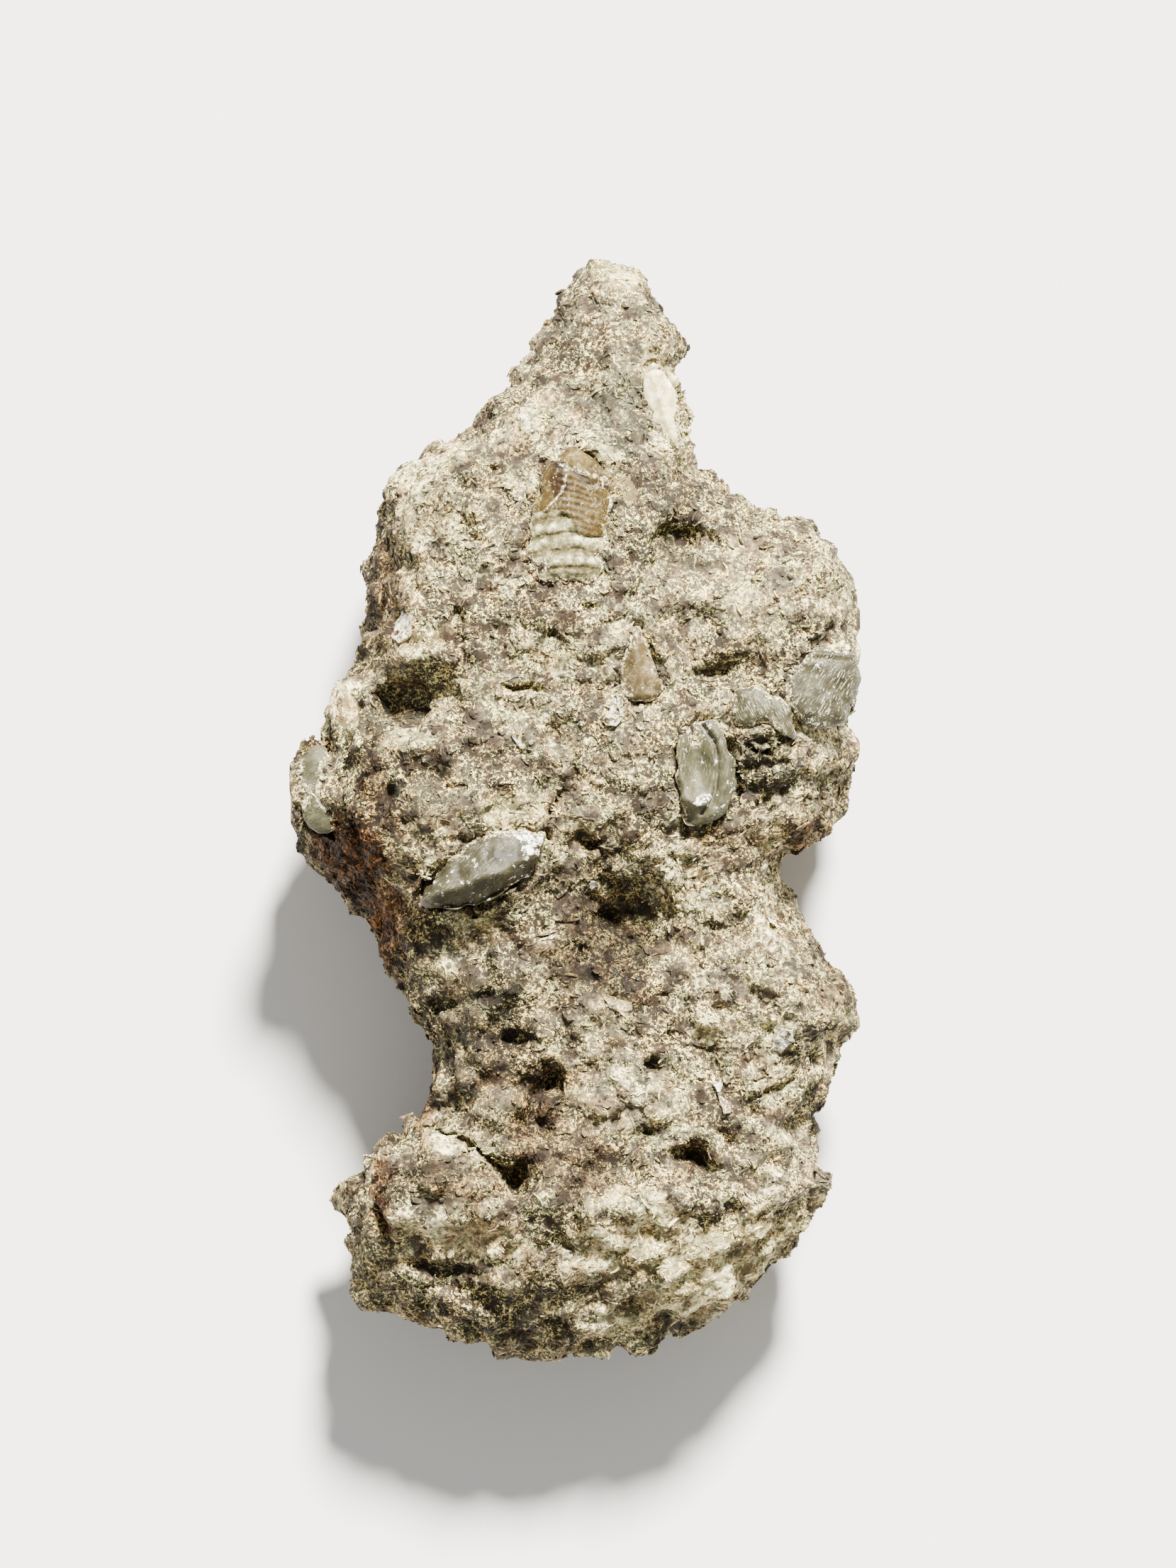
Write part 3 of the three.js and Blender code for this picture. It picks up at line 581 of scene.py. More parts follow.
def shell_finish(name, chalk, scratches, shade, turn):
    """Grey calcite, scratched along one direction, with chalky crusts."""
    paint = Finish(name + "_calcite")
    shades = [(spot, (red + shade, green + shade, blue + share * shade))
              for spot, (red, green, blue), share in CALCITE_SHADES]
    base = paint.patches(1.1, 5.0, 0.65, *shades)
    drawn = paint.drawn_out(11.0, turn)
    streaks = paint.patches(0.16, 3.0, 0.6, (0.35, 0.72), (0.65, 1.35), place=drawn)
    colour = paint.mix(0.8, base, streaks, "MULTIPLY")
    dashes = paint.patches(0.07, 2.0, 0.5, (0.57, 0.0), (0.66, 1.0), place=drawn)
    dashes = paint.sums(dashes, "MULTIPLY", paint.patches(0.9, 3.0, 0.6, (0.42, 0.0), (0.58, 1.0)))
    colour = paint.mix(paint.sums(dashes, "MULTIPLY", scratches), colour, SCRATCHES)
    chalky = paint.sums(paint.value("chalk"), "MULTIPLY", 0.16)
    crust = paint.sums(paint.noise(0.6, 6.0, 0.75), "ADD", chalky)
    white = paint.ramp(crust, (0.66 - 0.12 * chalk, 0.0), (0.69 - 0.12 * chalk, 1.0))
    colour = paint.mix(paint.sums(white, "MULTIPLY", 0.92), colour, SHELL_CHALK)
    gloss = paint.mix(white, SHELL_GLOSS, CRUST_GLOSS)
    colour, gloss, mask = paint.crusted(colour, gloss, 0.0)
    skin = paint.bump(paint.noise(0.25, 5.0, 0.7), 0.07, 0.6)
    skin = paint.bump(paint.noise(0.14, 3.0, 0.6, drawn), 0.03, 0.5, skin)
    skin = paint.bump(paint.sums(mask, "MAXIMUM", white), 0.07, 0.8, skin)
    return paint.done(Base_Color=colour, Roughness=gloss, Normal=skin, Specular_IOR_Level=0.25)


for node, (beak, fullness, *looks) in SHELLS.items():
    mesh = make_shell(node, beak, fullness, SHELL_SEAMS.get(node, ()))
    fossils[node] = finish_piece(mesh, node + "_fossil", shell_finish(node, *looks), node)

# ---- Yellow shell and brown shell fragment -----------------------------------------------
# A long yellowish shell crusted with chalk on the edge below the peak, and a thin tent-shaped
# brown fragment under the trilobite. Both are fixed in the stone.

SHELL_PLANS["shell_brown"] = ((4.3, 13.1), (3.6, 11.2), (3.1, 9.6), (3.0, 8.3), (4.2, 7.6), (5.6, 7.7),
                              (6.2, 8.6), (5.7, 10.2), (5.0, 11.7))
TENT_RIDGE = (0.55, 0.35, (4.4, 12.9), (4.3, 10.6), (4.6, 8.2))
YELLOW_RIDGE = (0.35, 0.30, (5.4, 31.0), (6.2, 28.4), (7.1, 25.6))
PLAIN_SHELLS = {        # node: slot; beak x, y; fullness; ridge; share of chalk; shades from dark to pale
    "shell_yellow": (
        "yellow_shell", (5.4, 31.5), 0.8, YELLOW_RIDGE, 0.3,
        ((0.3, (0.30, 0.245, 0.110)), (0.5, (0.58, 0.50, 0.26)), (0.72, (0.92, 0.82, 0.48)))),
    "shell_brown": (
        "brown_shell", (4.5, 13.2), 0.9, TENT_RIDGE, 0.05,
        ((0.3, (0.036, 0.025, 0.009)), (0.5, (0.072, 0.051, 0.020)), (0.72, (0.13, 0.095, 0.042)))),
}
PLAIN_CHALK = (0.88, 0.85, 0.73)
PLAIN_GLOSS = (0.45, 0.45, 0.45)


def plain_shell_finish(name, chalk, shades):
    """Mottled shell without scratches, with chalky crusts."""
    paint = Finish(name)
    base = paint.patches(0.8, 4.0, 0.65, *shades)
    crust = paint.patches(0.7, 6.0, 0.75, (0.62 - 0.2 * chalk, 0.0), (0.66 - 0.2 * chalk, 1.0))
    colour = paint.mix(paint.sums(crust, "MULTIPLY", 0.9), base, PLAIN_CHALK)
    colour, gloss, mask = paint.crusted(colour, PLAIN_GLOSS, 0.1)
    skin = paint.bump(paint.noise(0.3, 4.0, 0.65), 0.06, 0.6)
    skin = paint.bump(mask, 0.07, 0.8, skin)
    return paint.done(Base_Color=colour, Roughness=gloss, Normal=skin, Specular_IOR_Level=0.25)


for node, (slot, beak, fullness, ridge, *looks) in PLAIN_SHELLS.items():
    fossils[node] = finish_piece(make_shell(node, beak, fullness, (ridge,)), node + "_fossil",
                                 plain_shell_finish(slot, *looks), node)

# ---- Limestone lump ----------------------------------------------------------------------
# The loose lump that holds the fossils: limestone packed with crumbs and slivers of shell,
# broken on every side. Its face is weathered and pitted, with brown walls and chalky crusts.
# Painted shade darkens its walls, pits, hollows and creases, and painted light lifts its swells.

VOXEL = 0.51                    # size of the first mesh; the fossil face is refined to half of it
FOSSIL_SKIN = 0.40              # thickness of stone that closes the pockets round the fossils
FOSSIL_PROUD = 1.0              # how deep the stone is sunk under the bare part of a fossil
FOSSIL_MARGIN = (-0.1, 0.6)     # only stone from this far under a fossil's box to this far over it is sunk
REST_PLANE = 0.35               # the belly is pressed nearly flat below this height
REST_SQUASH = 0.35              # its relief there keeps this share of its height
FACE_LEVEL = 9.0                # the fossil face lies above this height
FAR_ABOVE = 60.0                # height from which lines are dropped on the lump
POCKET_REACH = 2.0              # how far round a fossil its pocket is looked for
POCKET_LEVELLED = 0.75          # stone this close to a fossil is laid level again
POCKET_RING = 1.5               # the level is that of the stone from there out to here
CRUST_REACH = {"trilobite": 0.75, "shell_brown": 0.95}  # how far stone clings inside a fossil's edge
CRUST_REACH_OTHERS = 0.85       # the same for all other fossils
STONE_LIFT = {                  # the stone laps up (or, below 0, falls away) round a fossil
    "trilobite": -0.2, "brachiopod_keeled": -0.4, "brachiopod_curled": -0.5, "brachiopod_cracked": 0.1,
    "brachiopod_edge": 0.1, "brachiopod_ledge": -0.5, "shell_brown": -0.3, "shell_yellow": -0.1}
STONE_RELIEF = (                # pattern, size, kind, height on the face, height added on the walls
    ("chunks", 3.6, 1, 0.40, 0.65), ("waves", 1.7, 2, 0.46, 0.20), ("crumbs", 1.5, 3, 0.42, 0.25),
    ("crumbs", 0.75, 4, 0.28, -0.12), ("waves", 0.42, 5, 0.12, -0.05))
COARSE_SIZE = 1.6               # relief over this size is stronger towards the lump's lower end
COARSE_END = (0.9, 12, 24)      # by this share at most, which it reaches between these distances down
SWELL_ROUNDS = 14               # rounds of smoothing that show what swells out and what is hollow
STONE_LEVEL = 0.21              # how pale the stone is on the whole, from 0 to 1
STONE_GRAINS = (0.22, 0.18, 0.42)   # how far the grains, the fine grains and the crumbs' tints swing that
STONE_PATCHES = ((6.0, 1.7), (1.8, 1.1), (0.7, 0.8), (0.3, 0.8))     # size and swing of broader patches

# Shades from dark to pale, each with its place on the ramp, and the colours that stains and painted shade
# multiply by.
CREAM_SHADES = ((0.05, (0.024, 0.0172, 0.0112)), (0.28, (0.055, 0.0445, 0.0285)),
                (0.50, (0.120, 0.100, 0.062)), (0.72, (0.260, 0.222, 0.130)), (0.95, (0.95, 0.82, 0.40)))
GREY_SHADES = ((0.05, (0.020, 0.0175, 0.011)), (0.35, (0.050, 0.0455, 0.029)), (0.66, (0.115, 0.105, 0.066)),
               (0.98, (0.55, 0.50, 0.30)))
CHALK_SHADES = ((0.05, (0.11, 0.088, 0.042)), (0.35, (0.30, 0.26, 0.145)), (0.66, (0.97, 0.89, 0.58)))
STONE_THREADS = (1.0, 0.88, 0.37)
STONE_HUES = ((0.38, (1.08, 0.95, 0.84)), (0.50, (1.0, 0.99, 0.97)), (0.62, (0.92, 0.99, 0.96)))
# brown is the stone's own brown, with painted shade where it is laid on the walls; dark is painted shade in
# pits and hollows, with some darker stone; hollow is painted shade in the creases.
ZONE_STAINS_AND_SHADES = {"brown": (0.27, 0.13, 0.06), "dark": (0.18, 0.15, 0.115), "hollow": (0.50, 0.42, 0.31)}

# Small sharp pits: x, y, half width, half height, turn in degrees, depth (below 0 for a swelling).
PITS = (
    (13.2, 3.3, 2.1, 1.5, 0, -1.6), (13.0, 5.5, 1.5, 0.6, 0, -0.7), (13.2, 4.8, 0.8, 0.6, 0, 1.7),
    (12.6, 4.2, 0.7, 0.6, 0, -1.0), (14.7, 4.8, 0.5, 0.5, 0, -0.7), (13.8, 4.0, 0.7, 0.4, 0, -0.6),
    (0.8, 25.5, 0.6, 0.4, 0, -0.5), (0.2, 16.5, 2.6, 0.9, 0, 0.5), (1.9, 17.8, 0.7, 1.4, 0, 0.3),
    (-8.2, 13.7, 0.45, 0.7, 0, 0.9), (-3.6, 8.6, 1.4, 0.28, -5, 0.9), (-1.7, 12.5, 0.32, 0.28, 0, 0.9),
    (0.9, -2.0, 0.9, 0.55, -38, 1.1), (1.2, -5.2, 0.8, 1.4, 20, 0.5), (2.2, -7.6, 2.1, 0.7, -50, 0.6),
    (3.2, -9.8, 1.5, 0.6, 30, 0.6), (0.4, -9.8, 1.1, 0.6, -30, 0.5), (-9.4, -13.6, 1.0, 0.6, 0, 0.8),
    (-4.2, -16.0, 1.0, 0.6, 10, 0.9), (-2.1, -19.3, 1.3, 0.55, 49, 1.2), (-2.8, -22.2, 1.1, 0.9, 0, 0.9),
    (-8.8, -20.6, 0.9, 0.9, 0, 0.9), (-4.1, -26.0, 0.6, 1.2, 0, 1.3), (5.4, -17.9, 0.5, 0.45, 0, 0.8),
    (5.2, -22.6, 0.4, 0.3, 0, 0.5), (8.4, -24.5, 0.9, 0.6, -40, 1.0), (-13.7, -27.2, 0.45, 2.2, 10, 0.9),
    (-9.2, -32.4, 3.0, 0.5, -8, 0.9), (9.7, 9.8, 1.1, 0.25, -3, 0.4), (7.2, 19.3, 1.3, 1.7, 0, 0.6),
    (1.0, 14.3, 0.7, 0.3, 0, 0.6), (13.2, 0.5, 0.8, 0.4, 35, 0.7), (16.9, 0.9, 0.6, 0.2, 0, 0.6),
    (7.8, -0.3, 0.3, 0.9, 0, 0.8), (17.9, -0.6, 0.3, 0.6, 0, 0.5), (-12.2, 8.6, 2.0, 0.6, 5, 0.5),
    (-8.0, -2.0, 0.9, 0.35, 0, 0.6), (8.7, -10.4, 0.5, 0.9, 0, 0.6), (-7.0, 19.0, 0.5, 0.35, 0, 0.5),
    (-5.7, 24.0, 0.5, 0.3, 0, 0.4), (13.4, 18.2, 0.6, 0.25, -40, 0.5), (-12.9, 1.2, 0.4, 0.8, 0, 0.6),
    (2.9, -31.2, 1.2, 0.3, 10, 0.5), (10.1, -14.0, 0.5, 0.4, 0, 0.5), (-6.3, -13.0, 0.6, 0.4, 30, 0.5),
    (0.3, 2.6, 0.8, 0.3, -50, 0.5),
)
# Cracks and raised edges: half width, height, then the points that they pass through.
SEAMS = (
    (0.13, -0.9, (-0.7, 1.6), (-1.2, 0.9), (-1.7, 0.1), (-1.9, -0.9), (-1.8, -2.0)),
    (0.22, -1.2, (-10.4, -22.4), (-8.9, -22.9), (-7.6, -23.4), (-6.2, -24.5), (-5.2, -25.2)),
    (0.14, -0.7, (-3.4, -3.9), (-5.0, -5.9), (-7.2, -6.7), (-10.8, -6.6)),
    (0.50, 0.55, (-14.4, 10.0), (-12.4, 10.8), (-10.3, 11.0), (-8.7, 10.5)),
    (0.55, 0.45, (-14.9, 5.0), (-12.4, 5.7), (-10.0, 5.8)),
    (0.20, 0.50, (16.0, -16.4), (15.6, -17.8), (14.6, -18.9), (12.5, -19.7)),
    (0.16, -0.5, (16.4, -17.0), (15.9, -18.4), (14.8, -19.4), (12.6, -20.2)),
    (0.35, 0.35, (-9.5, -34.4), (-5.0, -36.2), (1.0, -36.6), (7.0, -34.9), (12.0, -31.6)),
    (0.30, 0.30, (-5.0, -33.6), (1.0, -34.2), (7.0, -32.9), (12.5, -29.5)),
    (0.16, 0.55, (15.5, 5.2), (15.55, 4.2), (15.2, 3.0), (14.5, 2.2)),
    (0.30, 0.35, (0.6, 26.1), (2.2, 24.6), (2.9, 22.6), (3.0, 20.6)),
)
# Stains on the face, and painted shade in its pits and hollows (the dark ones): x, y, half width, half
# height, turn in degrees, strength.
FACE_STAINS_AND_SHADES = {
    "brown": (
        (-17.0, -5.6, 3.2, 3.0, -30, 1.0), (-14.6, 18.0, 1.6, 3.4, 0, 0.5),
        (-13.5, 15.6, 1.7, 4.6, 0, 0.65), (-15.8, -7.7, 4.8, 4.0, -40, 1.0), (-14.2, 1.6, 1.1, 3.0, 0, 0.7),
        (-16.0, -3.4, 3.6, 3.6, 0, 1.0), (0.6, -10.0, 3.6, 3.6, 0, 0.35), (0.2, -24.6, 2.8, 2.4, 0, 0.55),
        (-12.0, -0.8, 3.0, 1.2, 10, 0.5), (-8.6, -26.4, 3.4, 1.4, -10, 0.5),
        (19.0, -9.6, 1.4, 2.8, 10, 0.5), (-6.0, -17.6, 2.6, 2.0, 0, 0.45), (-13.7, -27.1, 0.9, 2.8, 8, 0.9),
        (-7.2, -29.6, 2.2, 1.1, 0, 0.55), (-11.5, -36.0, 1.8, 0.9, 0, 0.8), (16.6, -1.7, 2.8, 1.1, 0, 0.7),
        (-4.4, 25.8, 0.9, 1.3, 0, 0.4), (3.2, -13.4, 1.5, 0.8, -15, 0.7), (18.2, -13.8, 1.6, 2.4, 0, 0.35),
        (0.6, -2.6, 2.4, 2.0, 0, 0.35), (8.4, -24.5, 1.4, 1.2, 0, 0.6), (7.9, 33.2, 0.8, 1.0, 0, 0.5),
        (20.0, 4.0, 0.9, 1.0, 0, 0.6), (-2.8, -21.4, 2.4, 4.2, -12, 0.6), (-10.7, -20.0, 0.8, 4.0, 0, 0.8),
        (11.0, -2.0, 3.4, 1.6, 15, 0.35), (-6.9, 29.0, 0.7, 3.0, -40, 0.5),
    ),
    # Painted shade in the pits, the hollows and round the shells, with some darker stone as well.
    "dark": (
        (-10.0, -26.0, 3.0, 2.0, 0, 0.4), (17.0, -10.6, 1.6, 2.2, 0, 0.35), (-2.0, -5.2, 2.6, 1.4, 0, 0.3),
        (2.8, -33.0, 1.4, 1.2, 0, 0.2), (-3.0, -38.2, 3.0, 1.0, 0, 0.5), (19.2, -0.6, 1.0, 1.6, 0, 0.6),
        (0.4, 28.6, 2.6, 1.6, 0, 0.25), (2.4, -7.0, 2.8, 2.4, 0, 0.55), (2.0, -9.6, 3.6, 3.2, 0, 0.75),
        (-1.2, -5.6, 1.6, 1.6, 0, 0.5), (-4.4, -20.6, 3.0, 3.2, 0, 0.45), (-6.4, -14.0, 3.6, 3.4, 0, 0.5),
        (16.0, -7.2, 1.8, 2.0, 0, 0.35), (13.2, 3.9, 2.0, 1.7, 0, 0.1), (-13.4, 6.2, 1.6, 1.4, 0, 0.4),
        (-6.4, 23.6, 2.4, 1.6, 0, 0.2), (3.4, -9.6, 2.4, 3.0, 0, 0.85), (2.6, -14.6, 2.4, 1.6, 0, 0.35),
        (4.2, -23.4, 3.0, 1.6, 0, 0.3), (-9.6, -26.6, 3.0, 1.6, 0, 0.3), (-1.7, -31.8, 2.8, 1.4, 0, 0.45),
        (18.8, -12.4, 1.4, 2.0, 0, 0.4), (14.3, 11.8, 2.2, 1.6, 0, 0.25), (-1.6, 2.0, 2.4, 2.0, 0, 0.25),
        (-14.0, 15.0, 1.4, 3.0, 0, 0.3), (3.0, -13.6, 2.2, 1.2, 0, 0.35), (-7.6, -21.0, 2.4, 1.6, 0, 0.35),
        (0.6, -25.0, 4.0, 1.4, 0, 0.4), (-1.4, -33.0, 3.4, 1.6, -8, 0.7), (-15.0, -34.0, 1.4, 2.6, 0, 0.5),
        (19.0, 0.4, 1.0, 2.4, 0, 0.5), (13.2, 12.0, 1.6, 1.2, 0, 0.3), (-10.6, 0.4, 2.6, 1.6, 0, 0.4),
        (1.0, 29.6, 1.4, 2.2, 0, 0.2), (0.4, -3.6, 1.0, 1.8, 0, 0.4), (7.2, 19.3, 1.9, 2.2, 0, 0.4),
        (-11.8, 8.1, 2.6, 1.6, 0, 0.35), (-16.8, -4.4, 3.0, 2.6, 0, 0.35), (-9.2, -32.6, 3.6, 0.9, -8, 0.3),
        (-4.0, -37.0, 4.0, 1.6, 0, 0.4), (10.3, 10.1, 2.3, 0.7, 8, 0.3), (-5.2, -25.0, 1.4, 1.6, 0, 0.5),
        (-2.6, -23.6, 1.8, 2.0, 0, 0.3), (-9.0, -20.8, 1.4, 1.4, 0, 0.4), (-4.2, -16.2, 1.6, 1.0, 0, 0.5),
        (16.8, 0.6, 2.0, 1.8, 0, 0.3),
    ),
    "chalk": (
        # The first, under the keeled shell, is chalk and painted light that lifts the shell's shadow.
        (-6.8, -7.8, 2.2, 1.4, 0, 0.5), (-12.0, -9.6, 1.2, 1.4, 0, 0.3), (-4.0, 16.5, 2.0, 2.4, 0, 0.3),
        (4.0, -36.2, 3.0, 1.6, 0, 0.6), (-11.0, -36.0, 2.0, 1.0, 0, 0.4), (0.0, 8.6, 1.6, 1.4, 0, 0.35),
        (9.4, -13.2, 2.0, 1.6, 0, 0.4), (17.0, -16.0, 1.6, 1.2, 0, 0.4), (-3.4, -2.4, 1.2, 1.0, 0, 0.8),
        (-12.0, -29.2, 2.6, 1.0, -15, 0.6), (5.6, -29.0, 3.0, 1.4, 10, 0.6),
        (16.8, -16.2, 1.6, 1.2, 0, 0.4), (-1.0, -17.4, 1.6, 1.2, 0, 0.4), (4.0, -19.4, 1.6, 1.6, 0, 0.4),
        (9.6, 6.4, 1.4, 1.4, 0, 0.5), (-5.6, 17.6, 2.0, 1.6, 0, 0.3), (9.0, 14.4, 1.6, 1.4, 0, 0.3),
        (-3.9, -1.4, 1.7, 0.5, 5, 1.0), (8.65, 0.5, 0.7, 0.4, 0, 1.0), (18.0, 11.4, 2.2, 0.3, -4, 0.6),
        (-4.3, 0.0, 1.8, 1.4, 20, 1.0), (-12.0, 4.9, 2.4, 0.9, 8, 0.55), (-12.0, 12.8, 1.1, 1.1, 30, 1.0),
        (-16.2, 7.2, 1.3, 2.2, 20, 0.8), (14.5, -15.8, 0.9, 1.4, -20, 0.95),
        (2.6, -27.0, 1.4, 0.9, 10, 0.7), (5.6, -27.4, 0.9, 0.9, 0, 0.7), (2.3, 38.4, 2.6, 0.8, 0, 0.8),
        (-10.2, 24.4, 3.0, 1.2, 25, 0.6), (-4.1, 27.1, 2.4, 1.2, 30, 0.5), (16.8, 16.5, 2.0, 3.6, 0, 0.4),
        (17.9, 5.0, 2.2, 1.7, 0, 0.25), (13.9, -7.0, 2.2, 4.0, 20, 0.38), (-9.2, -22.9, 2.6, 1.2, -20, 0.6),
        (2.6, 24.2, 0.8, 3.4, 28, 0.6), (13.4, -1.6, 1.6, 2.0, 30, 0.5), (9.0, -15.4, 0.9, 0.9, 0, 0.7),
        (6.6, 26.0, 1.6, 1.6, 0, 0.6), (-1.2, 7.0, 2.4, 0.6, 15, 0.4), (11.0, -32.4, 6.6, 3.2, 25, 0.9),
        (3.4, -31.0, 5.0, 2.2, 10, 0.6), (17.4, 4.8, 2.4, 2.4, 0, 0.45), (7.8, -5.0, 2.6, 3.4, 0, 0.45),
        (-2.0, 11.0, 3.0, 2.6, 0, 0.45), (-10.4, 20.6, 3.0, 2.6, 30, 0.5), (-11.0, 12.0, 2.6, 1.6, 0, 0.6),
        (0.6, 25.6, 2.4, 2.0, 0, 0.35), (6.0, 29.6, 1.2, 4.4, 8, 0.7), (14.0, -17.5, 3.2, 3.2, 0, 0.4),
        (-7.0, -30.2, 4.4, 1.4, -8, 0.7), (-7.6, -9.8, 3.4, 1.4, 15, 0.35), (14.0, -27.0, 2.4, 2.4, 0, 0.4),
    ),
    "grey": (
        (3.4, 27.8, 2.1, 3.8, 0, 1.0), (-6.6, -13.6, 3.6, 3.4, 0, 0.5), (-9.2, 1.6, 3.2, 3.0, 0, 0.4),
        (-0.7, 33.6, 0.9, 0.8, 0, 0.6), (5.2, 20.2, 2.4, 3.0, 0, 0.4), (-7.6, -16.6, 2.4, 3.4, 0, 0.5),
        (-10.8, -26.6, 3.0, 2.2, -20, 0.35), (7.6, 2.0, 2.4, 4.0, 0, 0.3), (-9.0, 21.6, 1.6, 1.2, 0, 0.4),
        (-0.5, 34.0, 1.6, 2.6, 0, 0.4), (13.2, 3.9, 2.2, 1.9, 0, 0.8), (-13.0, 6.0, 2.2, 1.8, 0, 0.8),
    ),
}
BLUR = 0.35                     # how soft the edge of each stain and patch of painted shade is, as a share of its size
GREY_BLUR = 0.5
PIT_BLUR = 0.45
PATCHES_BELOW = (8, 13)         # heights over which the stains and painted shade give way to scattered patches
WALL_PATCHES = (4.5, 0.6)       # size and strength of those


def blob(points, spots, blur):
    """The strongest of several soft oval spots at each point, from 0 to 1."""
    strongest = np.zeros(len(points))
    for x, y, half_x, half_y, turn, strength in spots:
        angle = math.radians(turn)
        dx, dy = points[:, 0] - x, points[:, 1] - y
        across = (dx * math.cos(angle) + dy * math.sin(angle)) / half_x
        along = (dy * math.cos(angle) - dx * math.sin(angle)) / half_y
        reach = np.hypot(across, along)
        strongest = np.maximum(strongest, strength * (1 - smooth(reach, 1 - blur, 1 + blur)))
    return strongest


def crumbs_at(points, size, seed):
    """Rounded crumbs that meet in sharp creases, from about -0.5 to 0.5."""
    offset = Vector((seed * 3.3, seed * 5.7, seed * 1.9))
    return np.array([0.5 - noise.voronoi(Vector(point) / size + offset)[0][0] for point in points])


def chunks_at(points, size, seed):
    """Broad chunks that meet in sharp valleys."""
    return np.abs(noise_at(points, size, seed)) - 0.2


def stone_mesh():
    """The lump with its pockets filled, remeshed evenly and refined on the fossil face."""
    body = node_copy("matrix")
    for node in fossils:
        body.from_mesh(made_mesh(node_copy(node, FOSSIL_SKIN), "filler"))
    mesh = baked(body, "limestone", kind="REMESH", mode="VOXEL", voxel_size=VOXEL * MM)
    fine = bmesh.new()
    fine.from_mesh(mesh)
    fine.normal_update()
    face = [f for f in fine.faces if f.normal.z > 0.1 and f.calc_center_median().z > FACE_LEVEL * MM]
    edges = {edge for f in face for edge in f.edges}
    bmesh.ops.subdivide_edges(fine, edges=list(edges), cuts=1, use_grid_fill=True, smooth=0.5)
    fine.to_mesh(mesh)
    fine.free()
    return mesh


def relax(mesh, points, rounds):
    """The points averaged with their neighbours, several times over."""
    ends = np.empty(len(mesh.edges) * 2, int)
    mesh.edges.foreach_get("vertices", ends)
    first, second = ends.reshape(-1, 2).T
    count = np.bincount(ends, minlength=len(points))[:, None]
    for _ in range(rounds):
        total = np.zeros_like(points)
        for axis in range(3):
            total[:, axis] = np.bincount(first, points[second, axis], len(points))
            total[:, axis] += np.bincount(second, points[first, axis], len(points))
        points = 0.5 * points + 0.5 * total / count
    return points


def surface_tree(points, mesh):
    """For finding where a line meets a surface, or the nearest point on it."""
    return BVHTree.FromPolygons(points, [p.vertices[:] for p in mesh.polygons])


def drop(tree, x, y):
    """The point of a surface straight below x, y, or None beside it."""
    return tree.ray_cast(Vector((x, y, FAR_ABOVE)), Vector((0, 0, -1)))[0]


def outline_reach(points, node):
    """How far points lie outside a fossil's outline, in mm, and less than 0 inside it."""
    low, high = box_mm(node)
    near = ((points[:, :2] > low[:2] - POCKET_REACH) & (points[:, :2] < high[:2] + POCKET_REACH)).all(1)
    near &= points[:, 2] > low[2] - 0.5
    tree = fossil_trees[node]
    reach = np.full(len(points), POCKET_REACH)
    for i in np.flatnonzero(near):
        x, y = points[i, :2]
        if drop(tree, x, y):
            reach[i] = -0.01
            continue
        spot = tree.find_nearest(Vector(points[i]))[0]
        reach[i] = math.hypot(spot.x - x, spot.y - y)
    return reach


def level_pockets(points, up):
    """Lays the stone evenly across each filled pocket, from the level of the stone round it."""
    for node in fossils:
        reach = outline_reach(points, node)
        inside = np.flatnonzero((reach < POCKET_LEVELLED) & (up > -0.3))
        ring = np.flatnonzero((reach >= POCKET_LEVELLED) & (reach < POCKET_RING) & (up > 0.2))
        if not len(ring):
            continue
        gap = points[inside, None, :2] - points[None, ring, :2]
        weight = 1 / ((gap ** 2).sum(2) + 0.05) ** 1.5
        level = (weight * points[ring, 2]).sum(1) / weight.sum(1)
        lift = STONE_LIFT[node] * (1 - smooth(reach[inside], 0.0, POCKET_LEVELLED))
        points[inside, 2] = level + lift
    return points


def weather(mesh, points):
    """Breaks up the walls, crumbles the face and sinks its pits and cracks."""
    normals = normals_of(mesh)
    facing = smooth(normals[:, 2], 0.0, 0.5)
    wall = 1 - np.abs(normals[:, 2])
    extra, start, end = COARSE_END
    coarse = 1 + extra * smooth(-points[:, 1], start, end)
    patterns = {"chunks": chunks_at, "waves": noise_at, "crumbs": crumbs_at}
    rise = np.zeros(len(points))
    for pattern, size, kind, on_face, on_wall in STONE_RELIEF:
        height = on_face * (coarse if size > COARSE_SIZE else 1) + on_wall * wall
        rise += height * patterns[pattern](points, size, kind)
    points = points + normals * rise[:, None]
    depth = np.zeros(len(points))
    ragged = 0.22 * noise_at(points, 0.8, 6) + 0.12 * noise_at(points, 0.35, 7)
    shifted = points + ragged[:, None]
    for *spot, sink in PITS:
        depth += sink * blob(shifted, ((*spot, 1.0),), PIT_BLUR)
    points[:, 2] -= depth * facing
    for seam in SEAMS:
        points[:, 2] += seam_height(shifted, *seam) * facing
    return points


def sink_under_fossils(points):
    """Puts the stone well under each fossil where the fossil stands proud of it."""
    bared = np.zeros(len(points), bool)
    under, over = FOSSIL_MARGIN
    for node, tree in fossil_trees.items():
        low, high = box_mm(node)
        inside = ((points > low + under) & (points < high + over)).all(1)
        for i in np.flatnonzero(inside):
            x, y, z = points[i]
            hit = drop(tree, x, y)
            if hit and hit.z > z:
                points[i, 2] = min(z, hit.z - FOSSIL_PROUD)
                bared[i] = True
    return bared


